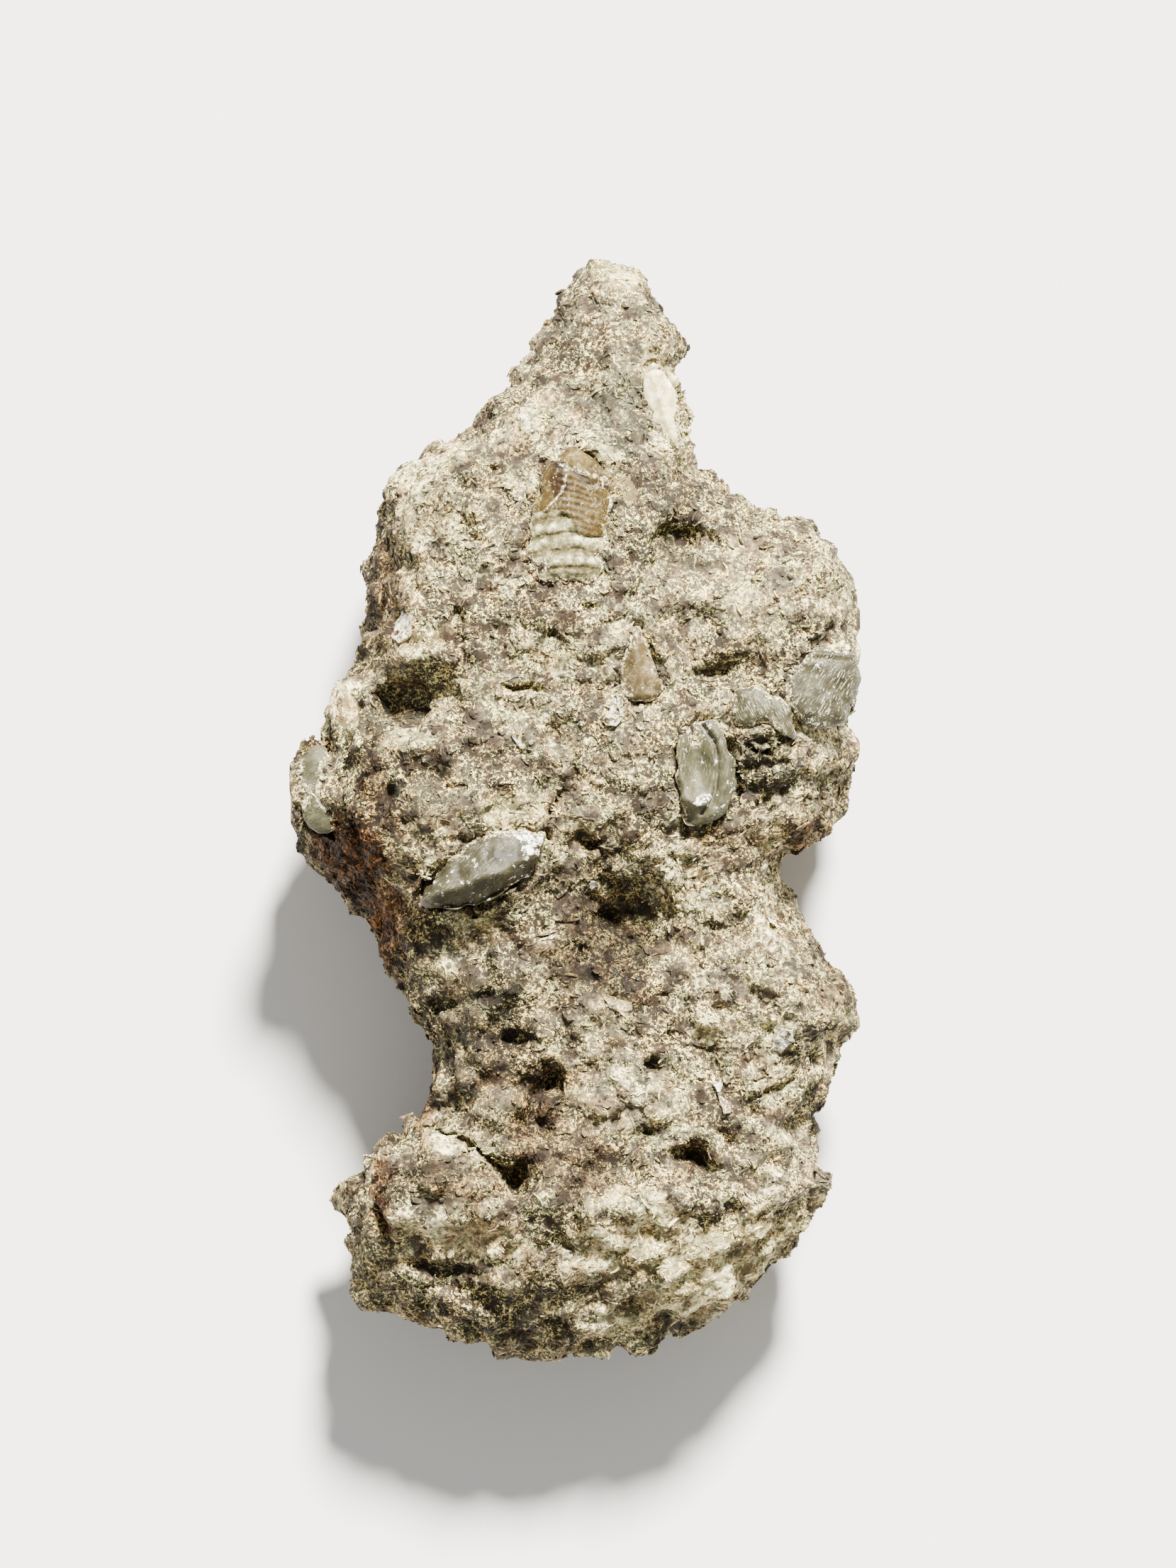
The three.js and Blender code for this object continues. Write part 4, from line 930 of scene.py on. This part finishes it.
def zone_values(points):
    """The share of each stain and painted shade at an array of points. Low on the walls the
    stains and painted shade of the face give way to scattered patches."""
    push = 1.1 * noise_at(points, 2.2, 11) + 0.6 * noise_at(points, 0.8, 12)
    ragged = points + np.stack([push, 0.8 * noise_at(points, 1.6, 13), np.zeros_like(push)], 1)
    face = smooth(points[:, 2], *PATCHES_BELOW)
    size, strength = WALL_PATCHES
    zones = {}
    for seed, (name, spots) in enumerate(FACE_STAINS_AND_SHADES.items(), 31):
        stains_and_shades = blob(ragged, spots, GREY_BLUR if name == "grey" else BLUR)
        patches = strength * smooth(noise_at(points, size, seed), 0.05, 0.40)
        zones[name] = face * stains_and_shades + (1 - face) * patches
    return zones


def stained_and_shaded(paint, level, pale):
    """The limestone's colour from dark to pale along level, with its pale threads and flecks and
    the stains and painted shade of its zones."""
    cream = paint.ramp(level, *CREAM_SHADES)
    grey = paint.ramp(level, *GREY_SHADES)
    chalk = paint.ramp(level, *CHALK_SHADES)
    colour = paint.mix(paint.value("grey"), cream, grey)
    torn = paint.swing(paint.noise(0.6, 5.0, 0.75), 2.2)
    crust = paint.ramp(paint.sums(paint.value("chalk"), "ADD", torn), (0.36, 0.0), (0.52, 1.0))
    colour = paint.mix(paint.sums(crust, "MULTIPLY", 0.9), colour, chalk)
    sparse = paint.sums(pale, "SUBTRACT", paint.sums(paint.value("grey"), "MULTIPLY", 0.35))
    colour = paint.mix(sparse, colour, STONE_THREADS)
    # Stains, and painted shade from the dark and hollow zones.
    for zone, stain_and_shade in ZONE_STAINS_AND_SHADES.items():
        shaded = paint.mix(1.0, colour, stain_and_shade, "MULTIPLY")
        colour = paint.mix(paint.value(zone), colour, shaded)
    return colour


def limestone_finish():
    """Crumbs, pale threads of shell and larger patches, all at their own size in mm."""
    paint = Finish("shell_hash_limestone")
    bent = paint.bend(0.25, 0.5)
    grain = paint.cells(0.26, bent)
    fine_grain = paint.cells(0.13, paint.bend(0.10, 0.18))
    layers = list(zip((grain, fine_grain, paint.value("tint")), STONE_GRAINS))
    layers += [(paint.noise(size, 4.0, 0.65), weight) for size, weight in STONE_PATCHES]
    tone = STONE_LEVEL
    for layer, weight in layers:
        tone = paint.sums(paint.swing(layer, weight), "ADD", tone)
    # Painted light and shade: the stone paler on its swells and darker in its hollows.
    level = paint.sums(tone, "ADD", paint.sums(paint.value("height"), "MULTIPLY", 0.14))
    threads = paint.sums(paint.threads(0.75, 0.038), "MAXIMUM", paint.threads(0.42, 0.048, bent))
    breaks = paint.patches(1.5, 4.0, 0.75, (0.44, 0.0), (0.56, 1.0))
    snapped = paint.patches(0.32, 3.0, 0.65, (0.48, 0.0), (0.56, 1.0))
    threads = paint.sums(threads, "MULTIPLY", snapped)
    flecks = paint.patches(0.18, 3.0, 0.65, (0.60, 0.0), (0.63, 1.0))
    pale = paint.sums(paint.sums(threads, "MAXIMUM", flecks), "MULTIPLY", breaks)
    hue = paint.patches(1.3, 3.0, 0.6, *STONE_HUES)
    colour = paint.mix(1.0, stained_and_shaded(paint, level, pale), hue, "MULTIPLY")
    skin = paint.bump(grain, 0.05, 0.5)
    skin = paint.bump(paint.noise(0.30, 4.0, 0.7), 0.09, 0.6, skin)
    skin = paint.bump(pale, 0.06, 0.7, skin)
    gloss = paint.ramp(fine_grain, (0.15, 0.50), (0.45, 0.90))
    return paint.done(Base_Color=colour, Roughness=gloss, Normal=skin, Specular_IOR_Level=0.15)


def make_stone():
    """The lump with its relief and its zones, and which of its vertices lie under a fossil."""
    mesh = stone_mesh()
    points = read_points(mesh)
    points = level_pockets(points, normals_of(mesh)[:, 2])
    write_points(mesh, points)
    points = weather(mesh, points)
    bared = sink_under_fossils(points)
    points = np.clip(points, *box_mm("matrix"))
    points[:, 2] *= np.where(points[:, 2] < REST_PLANE, REST_SQUASH, 1.0)
    write_points(mesh, points)
    normals = normals_of(mesh)
    swell = ((points - relax(mesh, points, SWELL_ROUNDS)) * normals).sum(1)
    side = 1 - smooth(normals[:, 2], 0.15, 0.55)
    left = 1 - smooth(points[:, 0], -9, -3)
    zones = zone_values(points)
    # Painted shade on top of the brown: the walls darker, the left ones most, as the light falls.
    zones["brown"] = np.maximum(zones["brown"], side * (0.15 + 0.45 * left))
    # Painted light and shade: swells are painted paler and hollows darker.
    zones["height"] = np.clip(swell / 0.25, -1, 1)
    # Painted shade in the creases and hollows.
    zones["hollow"] = smooth(-swell, 0.12, 0.60)
    zones["tint"] = np.full(len(points), 0.5)
    for name, values in zones.items():
        write_values(mesh, name, values)
    return mesh, bared


def crust_on(fossil, ground, reach):
    """How thick stone still clings to a fossil: 1 where it meets the stone, 0 far from it.
    Gives the fossil's points, the directions in which they face, and that share."""
    points = read_points(fossil.data)
    gaps = np.array([ground.find(Vector(point))[2] for point in points])
    crust = 1 - smooth(gaps, 0.15, reach)
    write_values(fossil.data, "crust", crust)
    write_values(fossil.data, "chalk", zone_values(points)["chalk"])
    return points, normals_of(fossil.data), crust


fossil_trees = {node: surface_tree([v.co / MM for v in fossil.data.vertices], fossil.data)
                for node, fossil in fossils.items()}
stone_shape, fossil_ground = make_stone()
limestone = limestone_finish()
finish_piece(stone_shape, "limestone_lump", limestone, "matrix")

stone_points, stone_normals = read_points(stone_shape), normals_of(stone_shape)
on_face = (stone_normals[:, 2] > -0.2) & (stone_points[:, 2] > FACE_LEVEL)
open_ground = np.flatnonzero(~fossil_ground & on_face)
ground = KDTree(len(open_ground))
for i in open_ground:
    ground.insert(Vector(stone_points[i]), int(i))
ground.balance()
crusts = [crust_on(fossil, ground, CRUST_REACH.get(node, CRUST_REACH_OTHERS))
          for node, fossil in fossils.items()]

# ---- Shell hash --------------------------------------------------------------------------
# The crumbs that the limestone is packed with: broken grains of shell and crystal, thin
# flakes, and splinters seen edge on. All are half sunk in the stone or cling to the edges
# of the fossils. Each kind is one mesh, apart from the splinters, which are three.

HASH = {        # kind: pieces, crumbs in each, least size, greatest size, raised share, tilt, paler by
    "knobs": (1, 900, 0.50, 1.30, -0.16, 1.0, -0.10),
    "grains_coarse": (1, 5500, 0.26, 0.60, -0.08, 1.2, -0.10),
    "grains_fine": (1, 7000, 0.10, 0.28, 0.06, 1.2, 0.0),
    "flakes": (1, 6000, 0.25, 0.90, -0.05, 0.55, 0.0),
    "splinters": (3, 5600, 0.30, 1.10, -0.01, 0.30, 0.45),
}
CRUMB_VARIANTS = 8              # shapes of each kind
CRUMB_TINTS = ((1.15, 0.15), (0.85, 0.18), (0.55, 0.34), (0.32, 0.25), (0.10, 0.08))    # tint, share
SMALL_SHARE = 2.2               # 1 spreads the sizes evenly, and more makes most crumbs small
HALO = 1.5                      # how many more crumbs lie on the stone round a fossil
WALL_SHARE = 0.35               # how many lie on the walls, as a share of those on the face
CRUMB_MARGIN = 0.6              # share of a crumb's size that has to fit inside the whole box
BELLY_CLEAR = 0.9               # no crumbs below this height, so that the lump rests flat


def crumb_shape(kind, variant):
    """One small closed shape, 1 long, as arrays of its corners and its triangles."""
    dice = random.Random(f"{kind} {variant}")
    body = bmesh.new()
    if kind == "splinters":
        bmesh.ops.create_cube(body, size=1.0)
        lengthwise = [e for e in body.edges if abs(e.verts[0].co.x - e.verts[1].co.x) > 0.5]
        bmesh.ops.subdivide_edges(body, edges=lengthwise, cuts=2, use_grid_fill=True)
        bow, width = dice.uniform(-0.9, 0.9), dice.uniform(0.10, 0.17)
        for vertex in body.verts:
            x, y, z = vertex.co
            taper = 1.2 - 1.3 * abs(x) * dice.uniform(0.8, 1.2)
            vertex.co = (x, y * width * taper + bow * x * x, z * 0.14 * taper)
    elif kind == "flakes":
        bmesh.ops.create_circle(body, segments=7, radius=0.5, cap_ends=True)
        for vertex in body.verts:
            vertex.co *= dice.uniform(0.55, 1.1)
            vertex.co.y *= 0.75
        raised = vertices_in(bmesh.ops.extrude_face_region(body, geom=body.faces[:]))
        bmesh.ops.translate(body, verts=raised, vec=(0, 0, dice.uniform(0.10, 0.2)))
    else:
        bmesh.ops.create_icosphere(body, subdivisions=2 if kind == "knobs" else 1, radius=0.5)
        squash = (1.0, dice.uniform(0.6, 0.95), dice.uniform(0.45, 0.85))
        for vertex in body.verts:
            vertex.co = Vector(squash) * vertex.co * dice.uniform(0.72, 1.2)
    bmesh.ops.triangulate(body, faces=body.faces)
    bmesh.ops.recalc_face_normals(body, faces=body.faces)
    corners = np.array([vertex.co for vertex in body.verts])
    triangles = np.array([[vertex.index for vertex in face.verts] for face in body.faces])
    body.free()
    return corners, triangles


def vertex_areas(mesh):
    """How much of the surface belongs to each vertex."""
    area = np.empty(len(mesh.polygons))
    mesh.polygons.foreach_get("area", area)
    size = np.empty(len(mesh.polygons), int)
    mesh.polygons.foreach_get("loop_total", size)
    corner = np.empty(len(mesh.loops), int)
    mesh.loops.foreach_get("vertex_index", corner)
    return np.bincount(corner, np.repeat(area / size, size), len(mesh.vertices))


def crumb_places():
    """Where crumbs can lie: thick on the face and round the fossils, thinner on the walls, and
    here and there on the crusted edges of the fossils. Gives points, normals and shares."""
    halo = relax(stone_shape, np.repeat(fossil_ground[:, None] * 1.0, 3, 1), 4)[:, 0]
    patches = 1 + 0.5 * noise_at(stone_points, 3.0, 21)
    face = WALL_SHARE + (1 - WALL_SHARE) * smooth(stone_normals[:, 2], -0.3, 0.3)
    weight = vertex_areas(stone_shape) * face * patches * (1 + HALO * (halo > 0.03))
    weight[fossil_ground | (stone_points[:, 2] < BELLY_CLEAR)] = 0
    places, normals, weights = [stone_points], [stone_normals], [weight]
    for fossil, (points, facing, crust) in zip(fossils.values(), crusts):
        share = smooth(crust + 0.6 * noise_at(points, 0.7, 22), 0.45, 0.9)
        places.append(points)
        normals.append(facing)
        weights.append(vertex_areas(fossil.data) * share * (facing[:, 2] > 0.2))
    weights = np.concatenate(weights)
    return np.concatenate(places), np.concatenate(normals), weights / weights.sum()


def scatter(kind, part, places, normals, weights):
    """One mesh of many crumbs of one kind, set in the stone at random places."""
    _, count, least, greatest, raised, tilt, paler = HASH[kind]
    dice = np.random.default_rng(sum(map(ord, kind)) + part)
    spots = dice.choice(len(places), count, p=weights)
    size = least + (greatest - least) * dice.random(count) ** SMALL_SHARE
    up = normals[spots]
    centre = places[spots] + up * (raised * size)[:, None]
    up = up + tilt * dice.uniform(-0.6, 0.6, (count, 3))
    up /= np.linalg.norm(up, axis=1)[:, None]
    along = np.cross(up, dice.normal(size=(count, 3)))
    along /= np.linalg.norm(along, axis=1)[:, None]
    turns = np.stack([along, np.cross(up, along), up], 1)
    tints, shares = zip(*CRUMB_TINTS)
    tint = dice.choice(tints, count, p=shares) + dice.uniform(-0.1, 0.1, count)
    tint += paler + 0.16 * noise_at(centre, 1.8, 23)
    low, high = WHOLE_BOX
    reach = CRUMB_MARGIN * size[:, None]
    keep = ((centre - reach > low) & (centre + reach < high)).all(1)
    corners, triangles, owners, total = [], [], [], 0
    for variant in range(CRUMB_VARIANTS):
        chosen = np.flatnonzero(keep & (np.arange(count) % CRUMB_VARIANTS == variant))
        shape, faces = crumb_shape(kind, variant)
        turned = np.einsum("vi,nij->nvj", shape, turns[chosen] * size[chosen, None, None])
        corners.append((turned + centre[chosen, None]).reshape(-1, 3))
        starts = total + len(shape) * np.arange(len(chosen))
        triangles.append((faces[None] + starts[:, None, None]).reshape(-1, 3))
        owners.append(np.repeat(chosen, len(shape)))
        total += len(corners[-1])
    name = f"{kind}_{part + 1}"
    mesh = bpy.data.meshes.new(name)
    mesh.from_pydata(np.concatenate(corners) * MM, [], np.concatenate(triangles))
    owners = np.concatenate(owners)
    write_values(mesh, "tint", tint[owners])
    for zone, values in zone_values(centre).items():
        write_values(mesh, zone, values[owners])
    return name, mesh


places = crumb_places()
for kind, (parts, *_) in HASH.items():
    for part in range(parts):
        name, mesh = scatter(kind, part, *places)
        crumbs = finish_piece(mesh, "hash_" + name, limestone)
        crumbs.data.shade_flat()

# ---- Larger shell pieces and crystals ----------------------------------------------------
# The bits in the face that are big enough to pick out: a needle of shell with a brown edge,
# curved slivers, a fan of shell, clear and white crystals and two amber flakes. All are set
# in the stone: each is its outline raised out of it, then roughened.

WHITE, PALE, CLEAR = (0.92, 0.90, 0.84), (0.84, 0.78, 0.60), (0.60, 0.61, 0.50)
AMBER, UMBER, OCHRE = (0.34, 0.235, 0.10), (0.17, 0.105, 0.06), (0.50, 0.42, 0.20)

CHIPS = (               # colour, height over the stone, then the corners of the outline
    (WHITE, 0.22, (0.85, -5.55), (1.10, -4.75), (1.40, -4.95), (1.52, -5.40), (1.20, -5.80)),
    (OCHRE, 0.15, (0.30, -3.10), (0.55, -2.55), (0.85, -2.80), (1.15, -3.75), (0.60, -4.05), (0.25, -3.70)),
    (WHITE, 0.30, (9.60, -18.95), (10.45, -19.15), (10.35, -19.75), (9.85, -19.85)),
    (UMBER, 0.35, (9.95, -19.75), (11.10, -20.50), (11.15, -21.30), (10.35, -21.45), (10.10, -20.60)),
    (CLEAR, 0.15, (8.75, -15.20), (9.30, -14.45), (10.10, -14.60), (10.35, -15.40), (9.70, -15.95)),
    (AMBER, 0.12, (8.60, -16.35), (8.95, -15.85), (9.45, -16.10), (9.20, -16.75)),
    (AMBER, 0.15, (1.65, -12.75), (2.10, -12.85), (3.40, -13.35), (4.30, -13.45), (4.25, -14.10),
     (3.20, -14.35), (2.30, -13.95)),
    (PALE, 0.35, (-13.25, 12.10), (-12.10, 14.20), (-11.30, 14.00), (-11.40, 12.20), (-12.40, 11.50)),
    (PALE, 0.25, (1.65, 6.15), (2.15, 6.60), (2.60, 8.35), (2.85, 8.10), (3.50, 7.20), (3.45, 6.40),
     (2.75, 5.75)),
    (WHITE, 0.30, (13.60, -17.00), (14.50, -15.10), (15.40, -15.20), (15.60, -16.20), (14.40, -17.30)),
)
SLIVERS = (             # colour, width, height over the stone, then the points of its middle line
    (WHITE, 0.30, 0.20, (-4.55, 5.50), (-4.15, 4.90), (-3.70, 4.50), (-2.85, 4.15)),
    (UMBER, 0.17, 0.20, (-3.45, -9.10), (-1.80, -8.62), (-0.15, -8.02)),
    (PALE, 0.26, 0.12, (-3.20, -9.30), (-1.70, -8.88), (-0.05, -8.28)),
    (WHITE, 0.14, 0.42, (2.68, 8.35), (3.00, 7.80), (3.20, 7.10), (3.15, 6.40)),
    (PALE, 0.10, 0.36, (1.70, 6.40), (2.20, 6.05), (2.80, 6.00), (3.30, 6.30)),
    (PALE, 0.10, 0.38, (2.00, 6.80), (2.35, 6.45), (2.75, 6.40), (3.00, 6.70)),
    (PALE, 0.12, 0.15, (4.45, -12.60), (4.90, -13.10), (4.95, -13.90), (4.75, -14.60)),
    (WHITE, 0.34, 0.10, (16.60, -17.30), (17.00, -18.30), (16.80, -19.60), (16.00, -21.00)),
    (UMBER, 0.20, 0.15, (12.40, -18.95), (13.20, -18.80), (13.60, -18.60)),
    (PALE, 0.14, 0.20, (13.30, -7.30), (14.20, -8.20), (15.20, -8.60)),
    (WHITE, 0.16, 0.15, (-1.50, 7.40), (-0.80, 7.20), (0.10, 7.40)),
    (WHITE, 0.12, 0.12, (14.80, 10.95), (16.20, 11.25), (17.80, 11.35), (19.60, 11.10)),
)
CHIP_ROOT = 0.8                 # how deep they reach into the stone
CHIP_SHRINK = 0.75              # size of their tops as a share of their roots
CHIP_ROUGH = (0.16, 0.45)       # depth and size of their unevenness
CHIP_SEED = 1                   # fixes where the noise of that unevenness starts
CHIP_PROBE = 0.2                # distance between the places where the height of the stone is read
CHIP_GLOSS = (0.55, 0.55, 0.55)


def ground_height(x, y):
    """The mean height of the stone round a place on its face."""
    heights = []
    for step_x, step_y in ((0, 0), (1, 0), (-1, 0), (0, 1), (0, -1)):
        hit = drop(stone_tree, x + CHIP_PROBE * step_x, y + CHIP_PROBE * step_y)
        if hit:
            heights.append(hit.z)
    return sum(heights) / len(heights)


def sliver_outline(width, *path):
    """The outline of a band that follows a path and comes to a point at both ends."""
    spots = [Vector(spot) for spot in path]
    sides = ([], [])
    for before, spot, after in zip(spots, spots[1:], spots[2:]):
        across = (after - before).orthogonal().normalized() * width / 2
        sides[0].append(spot + across)
        sides[1].append(spot - across)
    return [spots[0], *sides[0], spots[-1], *reversed(sides[1])]


def add_chip(body, layer, colour, rise, outline):
    """A closed chip raised from its outline, deep in the stone, to a top a little smaller."""
    middle = sum((Vector(spot) for spot in outline), Vector((0, 0))) / len(outline)
    root = [body.verts.new(Vector((x, y, ground_height(x, y) - CHIP_ROOT)) * MM) for x, y in outline]
    sole = body.faces.new(root)
    top = vertices_in(bmesh.ops.extrude_face_region(body, geom=[sole], use_keep_orig=True))
    bmesh.ops.translate(body, verts=top, vec=(0, 0, (CHIP_ROOT + rise) * MM))
    about = Matrix.Translation(Vector((-middle.x, -middle.y, 0)) * MM)
    bmesh.ops.scale(body, verts=top, vec=(CHIP_SHRINK, CHIP_SHRINK, 1), space=about)
    for vertex in root + top:
        vertex[layer] = (*colour, 1.0)


def chip_finish():
    """The chips' own colours, mottled and dirtied."""
    paint = Finish("shell_pieces_and_crystals")
    tone = paint.patches(0.3, 5.0, 0.7, (0.3, 0.35), (0.6, 0.9))
    colour = paint.mix(1.0, paint.value("paint", "Color"), tone, "MULTIPLY")
    dirt_and_painted_shade = paint.patches(0.45, 5.0, 0.7, (0.50, 0.0), (0.56, 1.0))
    colour, gloss, _ = paint.crusted(colour, CHIP_GLOSS, 0.4, dirt_and_painted_shade)
    skin = paint.bump(paint.noise(0.3, 5.0, 0.75), 0.15, 0.9)
    return paint.done(Base_Color=colour, Roughness=gloss, Normal=skin)


stone_tree = surface_tree([Vector(point) for point in stone_points], stone_shape)
chip_body = bmesh.new()
paint_layer = chip_body.verts.layers.float_color.new("paint")
for colour, rise, *outline in CHIPS:
    add_chip(chip_body, paint_layer, colour, rise, outline)
for colour, width, rise, *path in SLIVERS:
    add_chip(chip_body, paint_layer, colour, rise, sliver_outline(width, *path))
for cuts in (2, 1):
    bmesh.ops.subdivide_edges(chip_body, edges=chip_body.edges, cuts=cuts)
    bmesh.ops.triangulate(chip_body, faces=chip_body.faces)
depth, size = CHIP_ROUGH
noise.seed_set(CHIP_SEED)
for vertex in chip_body.verts:
    vertex.co += depth * MM * noise.noise_vector(vertex.co / MM / size)
bmesh.ops.recalc_face_normals(chip_body, faces=chip_body.faces)
chips = finish_piece(made_mesh(chip_body, "shell_pieces_and_crystals"), "shell_pieces_and_crystals",
                     chip_finish())
chips.data.shade_flat()

# ---- Floor, light and camera -------------------------------------------------------------
# A pale studio floor under the lump, one broad soft light from beyond its peak, a little to
# the right, and the camera straight above, because the lump lies on its back.

VIEW_CENTRE = (0.90, 1.90)      # the point of the object under the middle of the picture
VIEW_HEIGHT = 110.6             # what the picture's long side spans at the level of the walls
VIEW_LEVEL = 17.0               # the height at which that span is measured
CAMERA_RISE = 1200.0            # distance of the camera above that level
CAMERA_CLIP = (50.0, 10000.0)   # the nearest and the farthest that it sees
SENSOR = 36.0
FLOOR_SIZE = 3000.0             # half the length of its sides

floor_body = bmesh.new()
bmesh.ops.create_grid(floor_body, x_segments=1, y_segments=1, size=FLOOR_SIZE * MM)
floor = placed("floor", made_mesh(floor_body, "floor"))
floor.data.materials.append(Finish("pale_floor").done(Base_Color=(0.62, 0.61, 0.59), Roughness=0.9))


def sun(name, strength, spread, azimuth, elevation, colour):
    """A far soft light. Azimuth 0 stands beyond the peak and 90 to the right of it."""
    lamp = bpy.data.lights.new(name, "SUN")
    lamp.energy = strength
    lamp.angle = math.radians(spread)
    lamp.color = colour
    holder = placed(name, lamp)
    turn, lift = math.radians(azimuth), math.radians(elevation)
    towards = Vector((math.sin(turn) * math.cos(lift), math.cos(turn) * math.cos(lift), math.sin(lift)))
    holder.rotation_mode = "QUATERNION"
    holder.rotation_quaternion = towards.to_track_quat("Z", "Y")


sun("key_light", 35.0, 10, 14, 44, (1.0, 0.965, 0.90))
sun("fill_light", 0.4, 60, 215, 50, (0.95, 0.97, 1.0))

world = bpy.data.worlds.new("studio")
world.use_nodes = True
world.node_tree.nodes["Background"].inputs["Color"].default_value = (1.0, 0.99, 0.97, 1.0)
world.node_tree.nodes["Background"].inputs["Strength"].default_value = 0.75
bpy.context.scene.world = world

lens = bpy.data.cameras.new("camera")
lens.sensor_width = SENSOR
lens.lens = SENSOR * CAMERA_RISE / VIEW_HEIGHT
lens.clip_start, lens.clip_end = (distance * MM for distance in CAMERA_CLIP)
camera = placed("camera", lens)
camera.location = Vector((*VIEW_CENTRE, VIEW_LEVEL + CAMERA_RISE)) * MM
bpy.context.scene.camera = camera
